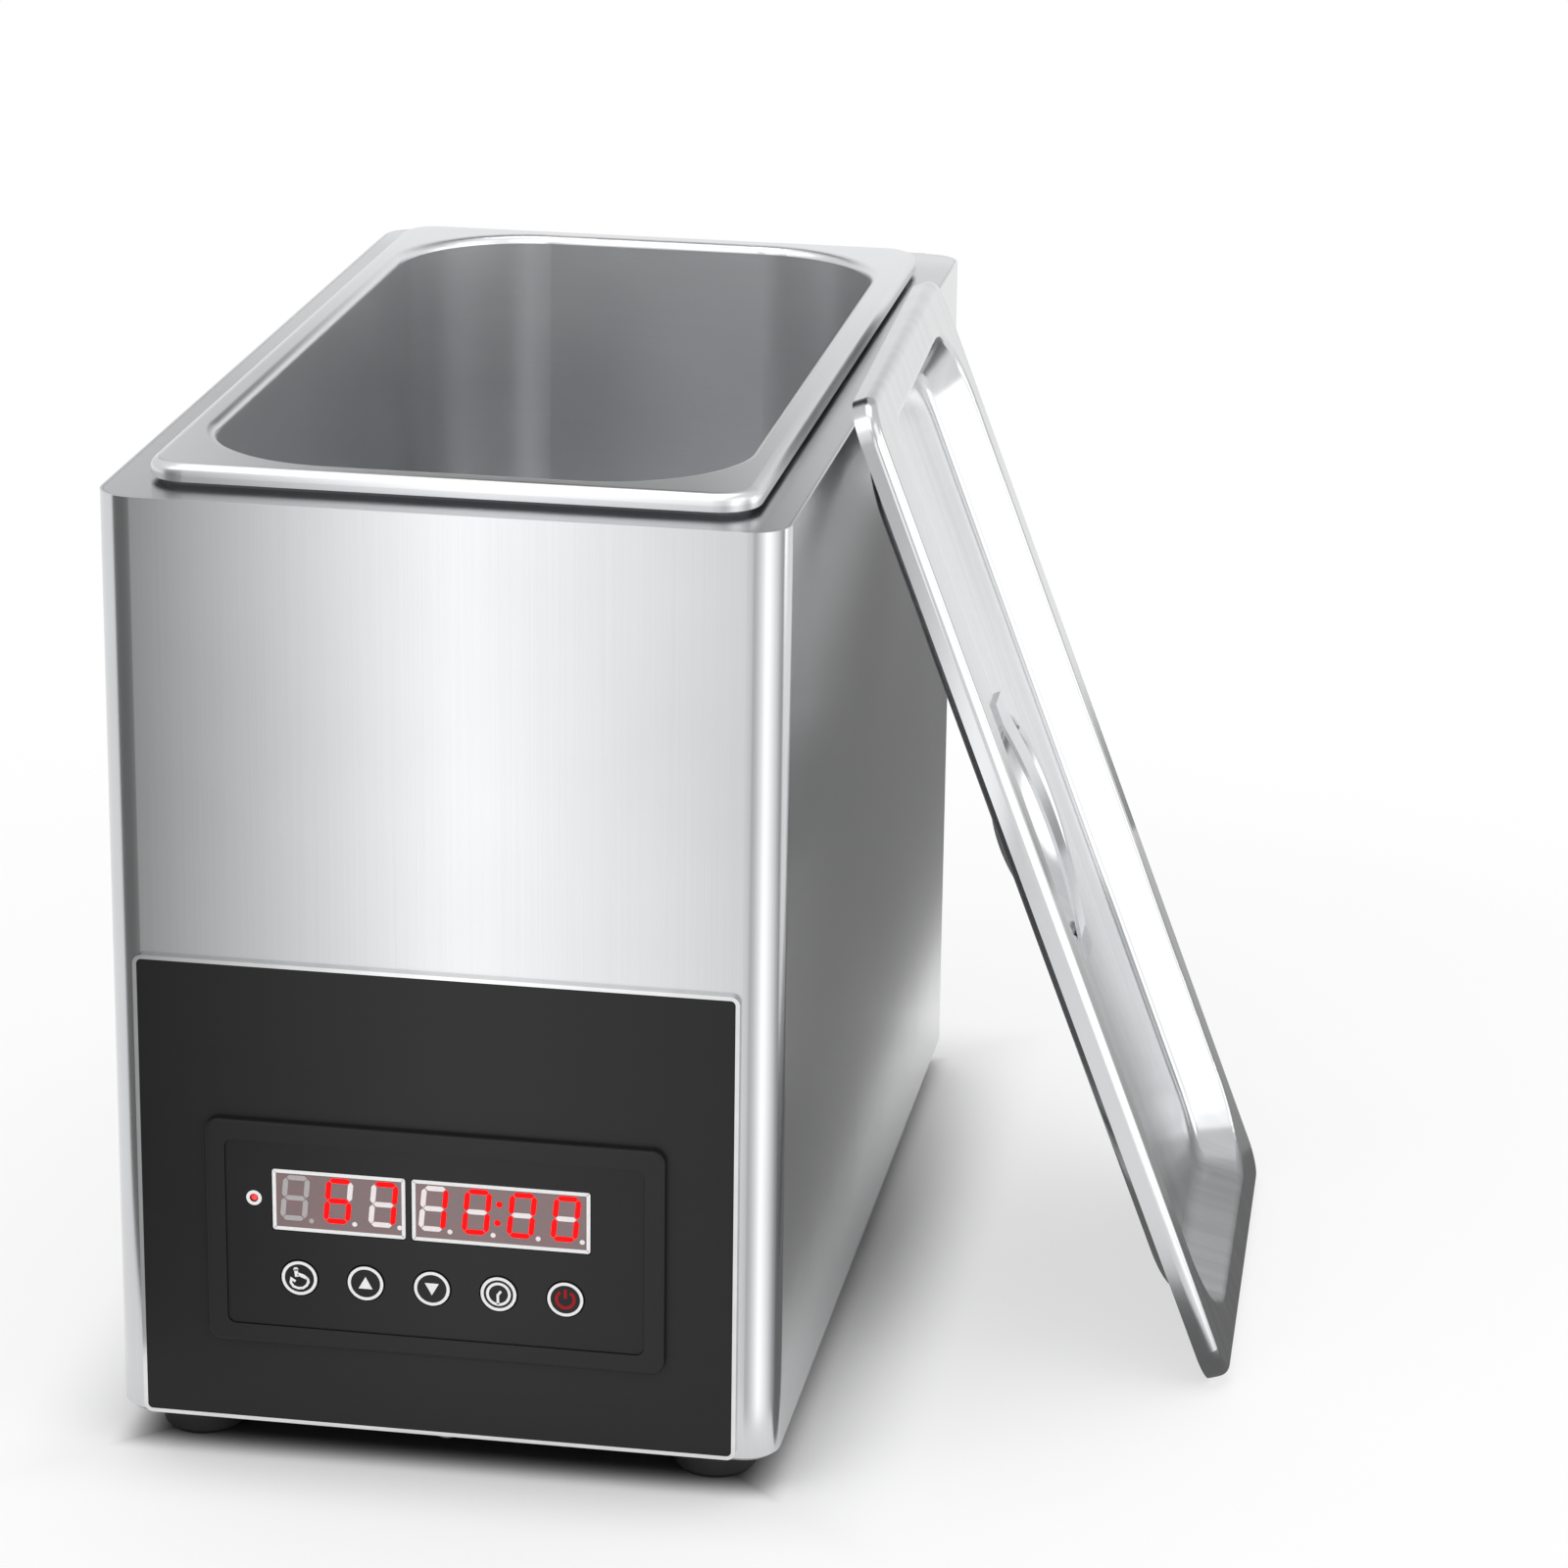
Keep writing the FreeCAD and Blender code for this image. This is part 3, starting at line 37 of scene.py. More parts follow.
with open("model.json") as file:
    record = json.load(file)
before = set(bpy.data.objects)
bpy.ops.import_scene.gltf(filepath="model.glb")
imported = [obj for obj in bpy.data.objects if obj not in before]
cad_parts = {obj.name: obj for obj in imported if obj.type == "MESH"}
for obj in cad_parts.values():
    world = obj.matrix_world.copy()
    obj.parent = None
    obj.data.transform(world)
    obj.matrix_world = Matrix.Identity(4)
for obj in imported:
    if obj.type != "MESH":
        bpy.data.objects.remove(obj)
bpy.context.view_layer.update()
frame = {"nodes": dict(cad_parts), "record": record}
nodes = frame["nodes"]
print("loaded", len(nodes), "nodes")


def tint(hexCode):
    # a screen colour such as "b8bcc0" as the linear colour that a shader takes
    steps = [int(hexCode[i:i + 2], 16) / 255 for i in (0, 2, 4)]
    linear = [s / 12.92 if s < 0.04045 else ((s + 0.055) / 1.055) ** 2.4 for s in steps]
    return (*linear, 1.0)


class Signal:
    # one output socket of a material; arithmetic on it adds Math nodes
    def __init__(self, finish, socket):
        self.finish = finish
        self.socket = socket

    def maths(self, operation, *others):
        values = dict(enumerate((self, *others)))
        return self.finish.add("ShaderNodeMath", {"operation": operation}, values)

    def reversed(self, operation, first):
        return self.finish.add("ShaderNodeMath", {"operation": operation}, {0: first, 1: self})

    def __add__(self, other):
        return self.maths("ADD", other)

    def __sub__(self, other):
        return self.maths("SUBTRACT", other)

    def __mul__(self, other):
        return self.maths("MULTIPLY", other)

    def __truediv__(self, other):
        return self.maths("DIVIDE", other)

    def __pow__(self, other):
        return self.maths("POWER", other)

    def __radd__(self, other):
        return self.reversed("ADD", other)

    def __rsub__(self, other):
        return self.reversed("SUBTRACT", other)

    def __rmul__(self, other):
        return self.reversed("MULTIPLY", other)

    def __rtruediv__(self, other):
        return self.reversed("DIVIDE", other)


class Finish:
    # one material: values set straight on its shader, and one method for every other node
    def __init__(self, name, uniform):
        self.material = bpy.data.materials.new(name)
        self.material.use_nodes = True
        self.tree = self.material.node_tree
        self.shader = self.tree.nodes["Principled BSDF"]
        self.place = self.add("ShaderNodeTexCoord", output="Object")
        for socket, value in uniform.items():
            self.feed(self.shader.inputs[socket], value)

    def feed(self, socket, value):
        if isinstance(value, Signal):
            self.tree.links.new(value.socket, socket)
        else:
            socket.default_value = value

    def add(self, kind, settings=None, values=None, output=0):
        # a node of this type: its settings first, then values or links for its sockets
        node = self.tree.nodes.new(kind)
        for name, value in (settings or {}).items():
            if name == "stops":
                while len(node.color_ramp.elements) < len(value):
                    node.color_ramp.elements.new(1.0)
                for element, (position, colour) in zip(node.color_ramp.elements, value):
                    element.position = position
                    element.color = colour
            else:
                setattr(node, name, value)
        for socket, value in (values or {}).items():
            self.feed(node.inputs[socket], value)
        return Signal(self, node.outputs[output])

    def stretched(self, x, y, z):
        # the object's own coordinates, scaled along each axis
        return self.add("ShaderNodeMapping", values={"Vector": self.place, "Scale": (x, y, z)})

    def noise(self, place, detail=3.0, roughness=0.5):
        # soft noise about one unit wide in the given coordinates, 0 to 1
        values = {"Vector": place, "Scale": 1.0, "Detail": detail, "Roughness": roughness}
        return self.add("ShaderNodeTexNoise", values=values)

    def along(self, axis):
        # one coordinate of the object, in metres
        return self.add("ShaderNodeSeparateXYZ", values={0: self.place}, output=axis)

    def fade(self, value, low, high):
        # 0 below low, 1 above high, smooth between them
        settings = {"interpolation_type": "SMOOTHSTEP"}
        return self.add("ShaderNodeMapRange", settings, {0: value, 1: low, 2: high})

    def blend(self, share, first, second):
        # colour that goes from the first to the second as the share goes from 0 to 1
        return self.add("ShaderNodeMix", {"data_type": "RGBA"}, {0: share, 6: first, 7: second}, output=2)

    def ramp(self, value, stops):
        # colour that passes through the stops, given as (value, screen colour), and holds beyond them
        low, high = stops[0][0], stops[-1][0]
        share = self.add("ShaderNodeMapRange", {}, {0: value, 1: low, 2: high})
        places = [((place - low) / (high - low), tint(code)) for place, code in stops]
        return self.add("ShaderNodeValToRGB", {"stops": places}, {0: share})

    def bump(self, height, distance, strength=1.0):
        return self.add("ShaderNodeBump", values={"Height": height, "Distance": distance, "Strength": strength})

    def set(self, **sockets):
        names = {"colour": "Base Color", "roughness": "Roughness", "metallic": "Metallic",
                 "normal": "Normal", "glow": "Emission Color", "coat": "Coat Weight"}
        for short, value in sockets.items():
            self.feed(self.shader.inputs[names[short]], value)
        return self.material


# brushed and pressed sheet: fine grain lines along one axis, faint cloudy tone, soft smudges
sheetSteels = {
    "casing_steel": dict(pale="d9dadb", dark="c6c7c9", smooth=0.16, rough=0.25,
                         grain=(2600, 2600, 9), cloud=14, depth=0.6),
    "ledge_steel": dict(pale="cfd0d2", dark="b6b7b9", smooth=0.20, rough=0.32,
                        grain=(40, 700, 40), cloud=24, depth=0.5),
    "back_steel": dict(pale="cdced0", dark="b9babc", smooth=0.22, rough=0.34,
                       grain=(2200, 2200, 9), cloud=18, depth=0.8),
    "base_steel": dict(pale="a9aaac", dark="8b8c8e", smooth=0.34, rough=0.50,
                       grain=(900, 30, 30), cloud=30, depth=1.2),
    "tank_steel": dict(pale="e9eaeb", dark="dcdddf", smooth=0.26, rough=0.40,
                       grain=(30, 30, 1400), cloud=20, depth=0.9),
    "lid_steel": dict(pale="dadbdc", dark="c6c7c9", smooth=0.15, rough=0.26,
                      grain=(30, 1800, 30), cloud=20, depth=0.7,
                      streak=(7, 190, 7)),
    "strap_steel": dict(pale="dadbdc", dark="c4c5c7", smooth=0.16, rough=0.26,
                        grain=(30, 1800, 30), cloud=40, depth=0.7),
    "probe_steel": dict(pale="c8c9cb", dark="aeafb1", smooth=0.24, rough=0.34,
                        grain=(20, 900, 900), cloud=60, depth=0.6),
}


def sheetSteel(name, look):
    # grain is noise stretched along one axis; it moves roughness and tone a little, and bump by microns
    steel = Finish(name, {"Metallic": 1.0})
    grain = steel.noise(steel.stretched(*look["grain"]), detail=2.0)
    cloud = steel.noise(steel.stretched(look["cloud"], look["cloud"], look["cloud"]), detail=4.0)
    smudge = steel.fade(steel.noise(steel.stretched(9, 9, 9), detail=5.0, roughness=0.6), 0.45, 0.75)
    tone = grain * 0.35 + cloud * 0.65
    if "streak" in look:
        tone = tone * 0.6 + steel.fade(steel.noise(steel.stretched(*look["streak"]), detail=1.0), 0.3, 0.7) * 0.4
    rough = look["smooth"] + (look["rough"] - look["smooth"]) * (tone * 0.7 + smudge * 0.3)
    return steel.set(
        colour=steel.blend(tone, tint(look["dark"]), tint(look["pale"])),
        roughness=rough,
        normal=steel.bump(grain, look["depth"] * 1e-6),
    )


# zinc-plated fasteners and other small bright metal
plainMetals = {
    "screw_steel": dict(pale="c9cbcc", dark="9fa1a4", rough=0.30, spot=900),
    "trim_bright": dict(pale="e9e9ea", dark="d4d5d6", rough=0.14, spot=120),
    "pin_brass": dict(pale="d9c27a", dark="b89b4e", rough=0.28, spot=700),
    "heater_aluminium": dict(pale="cbccce", dark="a6a7aa", rough=0.48, spot=420),
    "core_iron": dict(pale="5a5a5e", dark="3c3c40", rough=0.52, spot=1500),
}


def plainMetal(name, look):
    # metal with a fine spotted tone that also roughens it
    metal = Finish(name, {"Metallic": 1.0})
    spots = metal.noise(metal.stretched(look["spot"], look["spot"], look["spot"]), detail=3.0)
    return metal.set(
        colour=metal.blend(spots, tint(look["dark"]), tint(look["pale"])),
        roughness=look["rough"] * (0.8 + spots * 0.4),
        normal=metal.bump(spots, 4e-6),
    )


# plastic, rubber, ceramic and felt
softFinishes = {
    "foot_rubber": dict(pale="232323", dark="141414", rough=0.70, grainSize=1200, grainDepth=6e-5, coat=0.0),
    "seal_black": dict(pale="8a8a8c", dark="767678", rough=0.55, grainSize=900, grainDepth=3e-5, coat=0.0),
    "switch_black": dict(pale="3a3a3a", dark="2a2a2a", rough=0.50, grainSize=1500, grainDepth=1e-5, coat=0.0),
    "inlet_black": dict(pale="2d2d2e", dark="202021", rough=0.46, grainSize=2000, grainDepth=2e-5, coat=0.0),
    "pad_ceramic": dict(pale="efebe2", dark="dcd6c9", rough=0.95, grainSize=500, grainDepth=1.5e-4, coat=0.0),
    "bushing_ceramic": dict(pale="f2efe8", dark="e2ded4", rough=0.60, grainSize=800, grainDepth=2e-5, coat=0.0),
    "cutout_black": dict(pale="39393a", dark="262627", rough=0.50, grainSize=1300, grainDepth=2e-5, coat=0.0),
    "insulation_felt": dict(pale="e6e3da", dark="c9c4b6", rough=0.98, grainSize=350, grainDepth=6e-4, coat=0.0),
    "standoff_nylon": dict(pale="ecebe5", dark="dddbd3", rough=0.42, grainSize=600, grainDepth=1e-5, coat=0.0),
    "winding_yellow": dict(pale="d8b23c", dark="bb922a", rough=0.45, grainSize=260, grainDepth=1.2e-4, coat=0.2),
    "relay_blue": dict(pale="2f4f8e", dark="243f75", rough=0.40, grainSize=900, grainDepth=1e-5, coat=0.0),
    "block_grey": dict(pale="a3a5a7", dark="8d8f91", rough=0.50, grainSize=900, grainDepth=2e-5, coat=0.0),
    "fuse_glass": dict(pale="eef1f1", dark="dfe5e5", rough=0.06, grainSize=200, grainDepth=1e-6, coat=1.0),
}


def softFinish(name, look):
    # fine moulded or fibrous grain in bump, tone and roughness
    soft = Finish(name, {"Metallic": 0.0, "Coat Weight": look["coat"]})
    size = look["grainSize"]
    grain = soft.noise(soft.stretched(size, size, size), detail=3.0)
    cloud = soft.noise(soft.stretched(35, 35, 35), detail=3.0)
    return soft.set(
        colour=soft.blend(grain * 0.5 + cloud * 0.5, tint(look["dark"]), tint(look["pale"])),
        roughness=look["rough"] * (0.85 + cloud * 0.3),
        normal=soft.bump(grain, look["grainDepth"]),
    )


# black sheet, moulding and film of the front share one black, scaled per piece by a painted light level: the bezel
# lighter as painted light, the film and keys darker as painted shade; what shines on them comes from the lights
blackTone = "1c1c1d"
wipeMarks = dict(across=16, along=46, least=0.76, spread=0.48, roughen=0.14)
speckTone = "707071"
blackLooks = {
    "panel_black": dict(paintedLightLevel=1.0, rough=0.30, grainSize=2600, grainDepth=4e-6, wipeDepth=2e-5),
    "bezel_black": dict(paintedLightLevel=1.15, rough=0.38, grainSize=1900, grainDepth=1.4e-5, wipeDepth=0.0),
    "overlay_black": dict(paintedLightLevel=0.80, rough=0.28, grainSize=3000, grainDepth=5e-6, wipeDepth=6e-6),
    "key_black": dict(paintedLightLevel=0.66, rough=0.26, grainSize=3000, grainDepth=5e-6, wipeDepth=4e-6),
}


def panelBlack(name, look):
    # Satin black in one tone, raised or lowered per piece by painted light and shade; wipe marks and fine grain
    # move tone, roughness and bump.
    marks = wipeMarks
    sheet = Finish(name, {"Metallic": 0.0, "Specular IOR Level": 0.25})
    wipe = sheet.noise(sheet.stretched(marks["across"], marks["across"], marks["along"]), detail=5.0, roughness=0.6)
    size = look["grainSize"]
    grain = sheet.noise(sheet.stretched(size, size, size), detail=2.0)
    specks = sheet.fade(grain, 0.74, 0.80)
    # painted light and shade: the piece's level scales the black, together with the wipe marks
    wipesAndPaintedLight = look["paintedLightLevel"] * (marks["least"] + wipe * marks["spread"])
    shaded = sheet.blend(1 - wipesAndPaintedLight, tint(blackTone), (0, 0, 0, 1))
    height = grain * look["grainDepth"] + wipe * look["wipeDepth"]
    return sheet.set(
        colour=sheet.blend(specks * 0.10, shaded, tint(speckTone)),
        roughness=look["rough"] + wipe * marks["roughen"],
        normal=sheet.bump(height, 1.0),
    )


# the rose tone is a painted glow on the smoked window
displayLook = dict(smoke="706868", paintedGlowRose="886668")


def displayFace(name, look):
    # smoked window with a painted rosy glow, spread unevenly by noise
    face = Finish(name, {"Metallic": 0.0, "Coat Weight": 0.15, "Coat Roughness": 0.08})
    glow = face.noise(face.stretched(110, 110, 160), detail=2.0)
    return face.set(
        colour=face.blend(glow, tint(look["smoke"]), tint(look["paintedGlowRose"])),
        roughness=0.3 + glow * 0.15,
        normal=face.bump(face.noise(face.stretched(1800, 1800, 1800), detail=1.0), 5e-6),
    )


lampLook = dict(core="f4494c", shell="e23236", strength=0.35)


def lampRed(name, look):
    # clear red lamp, its red mottled by noise between a deeper shell tone and a brighter core tone
    lamp = Finish(name, {"Metallic": 0.0, "Emission Strength": look["strength"], "Roughness": 0.12})
    swirl = lamp.noise(lamp.stretched(900, 900, 900), detail=2.0)
    colour = lamp.blend(swirl, tint(look["shell"]), tint(look["core"]))
    return lamp.set(colour=colour, glow=colour, roughness=0.10 + swirl * 0.08)


boardLook = dict(mask="1c6b3c", track="2c8a50", pad="c9b26a", trackSize=240)


def boardGreen(name, look):
    # solder mask with slightly raised tracks, from stepped noise on two scales
    board = Finish(name, {"Metallic": 0.0, "Coat Weight": 0.4, "Coat Roughness": 0.2})
    size = look["trackSize"]
    cells = board.add("ShaderNodeTexVoronoi", {"distance": "CHEBYCHEV", "feature": "F1"},
                      {"Vector": board.stretched(size, size, size), "Scale": 1.0})
    track = board.fade(cells, 0.42, 0.46)
    pad = 1 - board.fade(cells, 0.10, 0.13)
    colour = board.blend(track, tint(look["mask"]), tint(look["track"]))
    return board.set(
        colour=board.blend(pad, colour, tint(look["pad"])),
        roughness=0.5 - pad * 0.2,
        normal=board.bump(track + pad, 4e-5),
    )


printLook = {
    "printWhite": dict(pale="f4f4f4", dark="e6e6e6", glow=0.0),
    # unlit bars of a shown digit: paler than the blank digit's bars, with a faint painted glow
    "digitPale": dict(pale="f3ecec", dark="e2d8d8", glow=0.05),
    "digitOff": dict(pale="b9b5b5", dark="a8a4a4", glow=0.0),
    "digitLit": dict(pale="fc0a0c", dark="f20608", glow=0.9),
    "printRed": dict(pale="a82328", dark="8e1b20", glow=0.0),
}


def printInk(name, look):
    # opaque ink or a lit segment, with a faint mottle
    ink = Finish(name, {"Metallic": 0.0, "Emission Strength": look["glow"], "Specular IOR Level": 0.06})
    mottle = ink.noise(ink.stretched(1500, 1500, 1500), detail=2.0)
    colour = ink.blend(mottle, tint(look["dark"]), tint(look["pale"]))
    return ink.set(colour=colour, glow=colour, roughness=0.35 + mottle * 0.1)


finishes = {name: sheetSteel(name, look) for name, look in sheetSteels.items()}
finishes.update({name: plainMetal(name, look) for name, look in plainMetals.items()})
finishes.update({name: softFinish(name, look) for name, look in softFinishes.items()})
finishes.update({name: printInk(name, look) for name, look in printLook.items()})
finishes.update({name: panelBlack(name, look) for name, look in blackLooks.items()})
finishes["display_dark"] = displayFace("display_dark", displayLook)
finishes["led_red"] = lampRed("led_red", lampLook)
finishes["board_green"] = boardGreen("board_green", boardLook)

for part in frame["record"]["subparts"]:
    node = nodes[part["node"]]
    node.data.materials.clear()
    node.data.materials.append(finishes[part["material_slot"]])
print("dressed the nodes in", len(finishes), "finishes")


def meshPiece(name, groups, body):
    # groups holds (vertices, quads, finish name); all become one object that rides on the body
    vertices = np.concatenate([points for points, _, _ in groups])
    starts = np.cumsum([0] + [len(points) for points, _, _ in groups[:-1]])
    faces = np.concatenate([quads + start for start, (_, quads, _) in zip(starts, groups)])
    inks = list(dict.fromkeys(ink for _, _, ink in groups))
    mesh = bpy.data.meshes.new(name)
    mesh.from_pydata(vertices.tolist(), [], faces.tolist())
    for ink in inks:
        mesh.materials.append(finishes[ink])
    order = np.concatenate([np.full(len(quads), inks.index(ink), np.int32) for _, quads, ink in groups])
    mesh.polygons.foreach_set("material_index", order)
    mesh.update()
    piece = bpy.data.objects.new(name, mesh)
    bpy.context.scene.collection.objects.link(piece)
    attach(piece, body)
    return piece


def printedStroke(path, widths, front, thick, closed=False):
    # A ribbon along a path on an upright plane: each path point (x, z) is moved half a width to
    # either side along its mitre, the mean of its two edges' normals over their dot product, and
    # once at the front and once a thickness behind it.
    path = np.asarray(path, float)
    ahead = np.roll(path, -1, axis=0) - path
    if not closed:
        ahead[-1] = ahead[-2]
    ahead /= np.linalg.norm(ahead, axis=1, keepdims=True)
    behind = np.roll(ahead, 1, axis=0)
    if not closed:
        behind[0] = ahead[0]
    normalAhead = ahead[:, ::-1] * (1, -1)
    normalBehind = behind[:, ::-1] * (1, -1)
    mitre = (normalAhead + normalBehind) / (1 + (normalAhead * normalBehind).sum(1, keepdims=True))
    offset = mitre * np.reshape(np.broadcast_to(widths, len(path)), (-1, 1)) / 2
    right, left = path + offset, path - offset
    corners = np.stack([right, left, left, right], axis=1)
    depth = np.array([front, front, front + thick, front + thick])
    vertices = np.stack([corners[..., 0], np.broadcast_to(depth, corners.shape[:2]), corners[..., 1]], axis=2)
    count = len(path)
    here = np.arange(count if closed else count - 1)
    there = (here + 1) % count
    sides = np.arange(4)
    quads = np.stack([
        (here[:, None] * 4 + sides), (there[:, None] * 4 + sides),
        (there[:, None] * 4 + (sides + 1) % 4), (here[:, None] * 4 + (sides + 1) % 4),
    ], axis=2).reshape(-1, 4)
    if not closed:
        last = (count - 1) * 4
        caps = np.array([[0, 1, 2, 3], [last + 3, last + 2, last + 1, last]])
        quads = np.concatenate([quads, caps])
    return vertices.reshape(-1, 3) * mm, quads


def ringPath(x, z, radius, start=0.0, sweep=360.0, count=48):
    # points on a circle or an arc of it, angles in degrees from +X towards +Z
    turn = np.radians(start + np.linspace(0, sweep, count, endpoint=sweep < 360))
    return np.stack([x + radius * np.cos(turn), z + radius * np.sin(turn)], axis=1)


def framePath(left, right, low, high, radius, count=5):
    # rounded rectangle: four quarter turns about the corner centres, joined by straight lines
    turn = np.radians(np.linspace(0, 90, count))
    quarters = []
    for k, (x, z) in enumerate(((right - radius, high - radius), (left + radius, high - radius),
                                (left + radius, low + radius), (right - radius, low + radius))):
        quarters.append(np.stack([x + radius * np.cos(turn + k * math.pi / 2),
                                  z + radius * np.sin(turn + k * math.pi / 2)], axis=1))
    return np.concatenate(quarters)


def nodeBox(name):
    # corners of a node's box, in millimetres
    low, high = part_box(name)
    return np.array(low) / mm, np.array(high) / mm


# seven-segment digits, window outlines and the lamp's ring on the module's film
digitLook = dict(
    width=8.0, height=14.2, bar=1.55, gap=0.22, lean=0.095, thick=0.06, clear=0.02,
    centreHeight=84.85, pointDrop=6.85, pointReach=4.8, pointSize=1.5,
)
digitSegments = {  # ends of each bar in half widths and half heights, and the digits that light it
    "top": ((-1, 1), (1, 1), "0235679"),
    "upperRight": ((1, 1), (1, 0), "01234789"),
    "lowerRight": ((1, 0), (1, -1), "013456789"),
    "bottom": ((-1, -1), (1, -1), "0235689"),
    "lowerLeft": ((-1, 0), (-1, -1), "0268"),
    "upperLeft": ((-1, 1), (-1, 0), "045689"),
    "middle": ((-1, 0), (1, 0), "2345689"),
}
digitPlaces = {  # middle of each digit across the panel, and what it shows
    "temperature": ((-42.5, " "), (-29.6, "6"), (-16.2, "7")),
    "timer": ((-1.3, "1"), (11.5, "0"), (24.8, "0"), (37.8, "0")),
}
colonPlace = dict(x=17.9, reach=2.9, size=1.9)


def digitBar(x, look, front, start, end):
    # one bar: a ribbon that comes to a point at both ends, leant over by its height
    half = np.array([look["width"] / 2 - look["bar"] / 2, look["height"] / 2 - look["bar"] / 2])
    a, b = np.array(start) * half, np.array(end) * half
    run = (b - a) / np.linalg.norm(b - a)
    a, b = a + run * look["gap"], b - run * look["gap"]
    tip = look["bar"] / 2
    path = np.array([a, a + run * tip, b - run * tip, b])
    path[:, 0] += path[:, 1] * look["lean"] + x
    path[:, 1] += look["centreHeight"]
    widths = np.array([0.1, 1, 1, 0.1]) * look["bar"]
    return printedStroke(path, widths, front, look["thick"])


def roundPoint(x, z, size, front, thick):
    # a disc as a short ribbon whose width follows the circle: reach goes with the sine of the
    # turn and width with its cosine
    turn = np.radians(np.linspace(-84, 84, 11))
    path = np.stack([x + size / 2 * np.sin(turn), np.full(len(turn), z)], axis=1)
    return printedStroke(path, size * np.cos(turn), front, thick)


def makeDigits(name, node, look):
    # every bar and point of a display, just in front of its face; the bars that the digit needs are lit
    low, _ = nodeBox(node)
    front = low[1] - look["clear"] - look["thick"]
    groups = []
    for x, shown in digitPlaces[name]:
        # bars of a blank digit stay grey; unlit bars of a shown digit get the painted glow
        off = "digitOff" if shown == " " else "digitPale"
        for start, end, litBy in digitSegments.values():
            ink = "digitLit" if shown in litBy and shown != " " else off
            groups.append((*digitBar(x, look, front, start, end), ink))
        point = roundPoint(x + look["pointReach"], look["centreHeight"] - look["pointDrop"],
                           look["pointSize"], front, look["thick"])
        groups.append((*point, off))
    if name == "timer":
        for side in (-1, 1):
            z = look["centreHeight"] + side * colonPlace["reach"]
            x = colonPlace["x"] + side * colonPlace["reach"] * look["lean"]
            groups.append((*roundPoint(x, z, colonPlace["size"], front, look["thick"]), "digitLit"))
    return meshPiece(name + "Digits", groups, "machine")


outlineLook = dict(line=1.1, radius=0.3, thick=0.05, clear=0.01)
lampRing = dict(radius=1.8, line=1.0)


def makeOutlines(look):
    # white line round each window, its outer edge on the window's own edge, and a ring round the lamp
    groups = []
    for node in ("temperature_display", "timer_display"):
        low, high = nodeBox(node)
        front = low[1] - look["clear"] - look["thick"]
        inset = look["line"] / 2
        path = framePath(low[0] + inset, high[0] - inset, low[2] + inset, high[2] - inset, look["radius"])
        groups.append((*printedStroke(path, look["line"], front, look["thick"], closed=True), "printWhite"))
    low, high = nodeBox("heating_led")
    front = low[1] - look["clear"] - look["thick"]
    path = ringPath((low[0] + high[0]) / 2, (low[2] + high[2]) / 2, lampRing["radius"])
    groups.append((*printedStroke(path, lampRing["line"], front, look["thick"], closed=True), "printWhite"))
    return meshPiece("windowOutlines", groups, "machine")


makeDigits("temperature", "temperature_display", digitLook)
makeDigits("timer", "timer_display", digitLook)
makeOutlines(outlineLook)

# printed rings and signs on the five keys
keyPrint = dict(ring=4.85, line=0.9, thick=0.05, clear=0.01)
handStrokes = (  # finger, its tip, knuckles, and the outline of thumb and palm, about the key's middle
    (((-1.05, 2.7), (-0.75, 0.4)), 1.1),
    (((-1.1, 3.35), (-1.06, 2.9), (-1.02, 2.3)), (0.7, 1.5, 1.2)),
    (((-0.5, 1.35), (1.05, 0.75), (2.35, 0.1)), (0.9, 1.2, 0.8)),
    (((-1.2, -1.1), (-2.4, -0.35), (-2.6, -1.6), (-1.8, -2.75), (-0.4, -3.2), (1.1, -3.0), (2.15, -2.1),
      (2.7, -1.0), (2.45, 0.2)), 0.75),
)
clockStrokes = ((((-0.13, -3.2), (-0.2, -0.3), (0.75, 0.95)), 0.75),)  # a hand down from the middle, one up


def movedStrokes(strokes, x, z, ink):
    # strokes about the key's middle, moved to that middle
    return [(np.array(path) + (x, z), width, False, ink) for path, width in strokes]


def handSign(x, z):
    # pointing hand: finger, tip, knuckles and palm
    return movedStrokes(handStrokes, x, z, "printWhite")


def plusSign(x, z):
    # triangle pointing up: a ribbon whose width falls to nothing
    return [([(x, z - 1.7), (x, z + 2.0)], (4.2, 0.05), False, "printWhite")]


def minusSign(x, z):
    # the same triangle pointing down
    return [([(x, z + 1.7), (x, z - 2.0)], (4.2, 0.05), False, "printWhite")]


def clockSign(x, z):
    # inner ring and the bent line of two hands
    return [(ringPath(x, z, 3.25), 0.8, True, "printWhite"), *movedStrokes(clockStrokes, x, z, "printWhite")]


def powerSign(x, z):
    # open ring with an upright bar in its gap
    return [(ringPath(x, z, 2.6, start=124, sweep=292), 0.95, False, "printRed"),
            ([(x, z + 0.3), (x, z + 3.15)], 0.95, False, "printRed")]


keySigns = {"key_set": handSign, "key_plus": plusSign, "key_minus": minusSign,
            "key_timer": clockSign, "key_power": powerSign}


def makeKeyPrint(key, sign, look):
    # ring and sign just in front of the key, riding on the key's own body
    low, high = nodeBox(key)
    x, z = (low[0] + high[0]) / 2, (low[2] + high[2]) / 2
    front = low[1] - look["clear"] - look["thick"]
    strokes = [(ringPath(x, z, look["ring"]), look["line"], True, "printWhite")] + sign(x, z)
    groups = [(*printedStroke(path, width, front, look["thick"], closed), ink)
              for path, width, closed, ink in strokes]
    return meshPiece(key + "Print", groups, key + "_body")


for key, sign in keySigns.items():
    makeKeyPrint(key, sign, keyPrint)
print("printed the displays and keys")

# cross-recessed screws at the back, in place of the plain ones
screwLook = dict(
    headRadius=3.8, headHeight=2.2, rounding=1.1, shankRadius=2.0,
    barWidth=0.95, barLength=4.5, barDepth=1.3, barEdge=0.25, around=72, across=18,
)
screwGroups = {"back_screws": ("backScrews", 2, 4), "inlet_screws": ("inletScrews", 2, 1)}  # piece, columns, rows


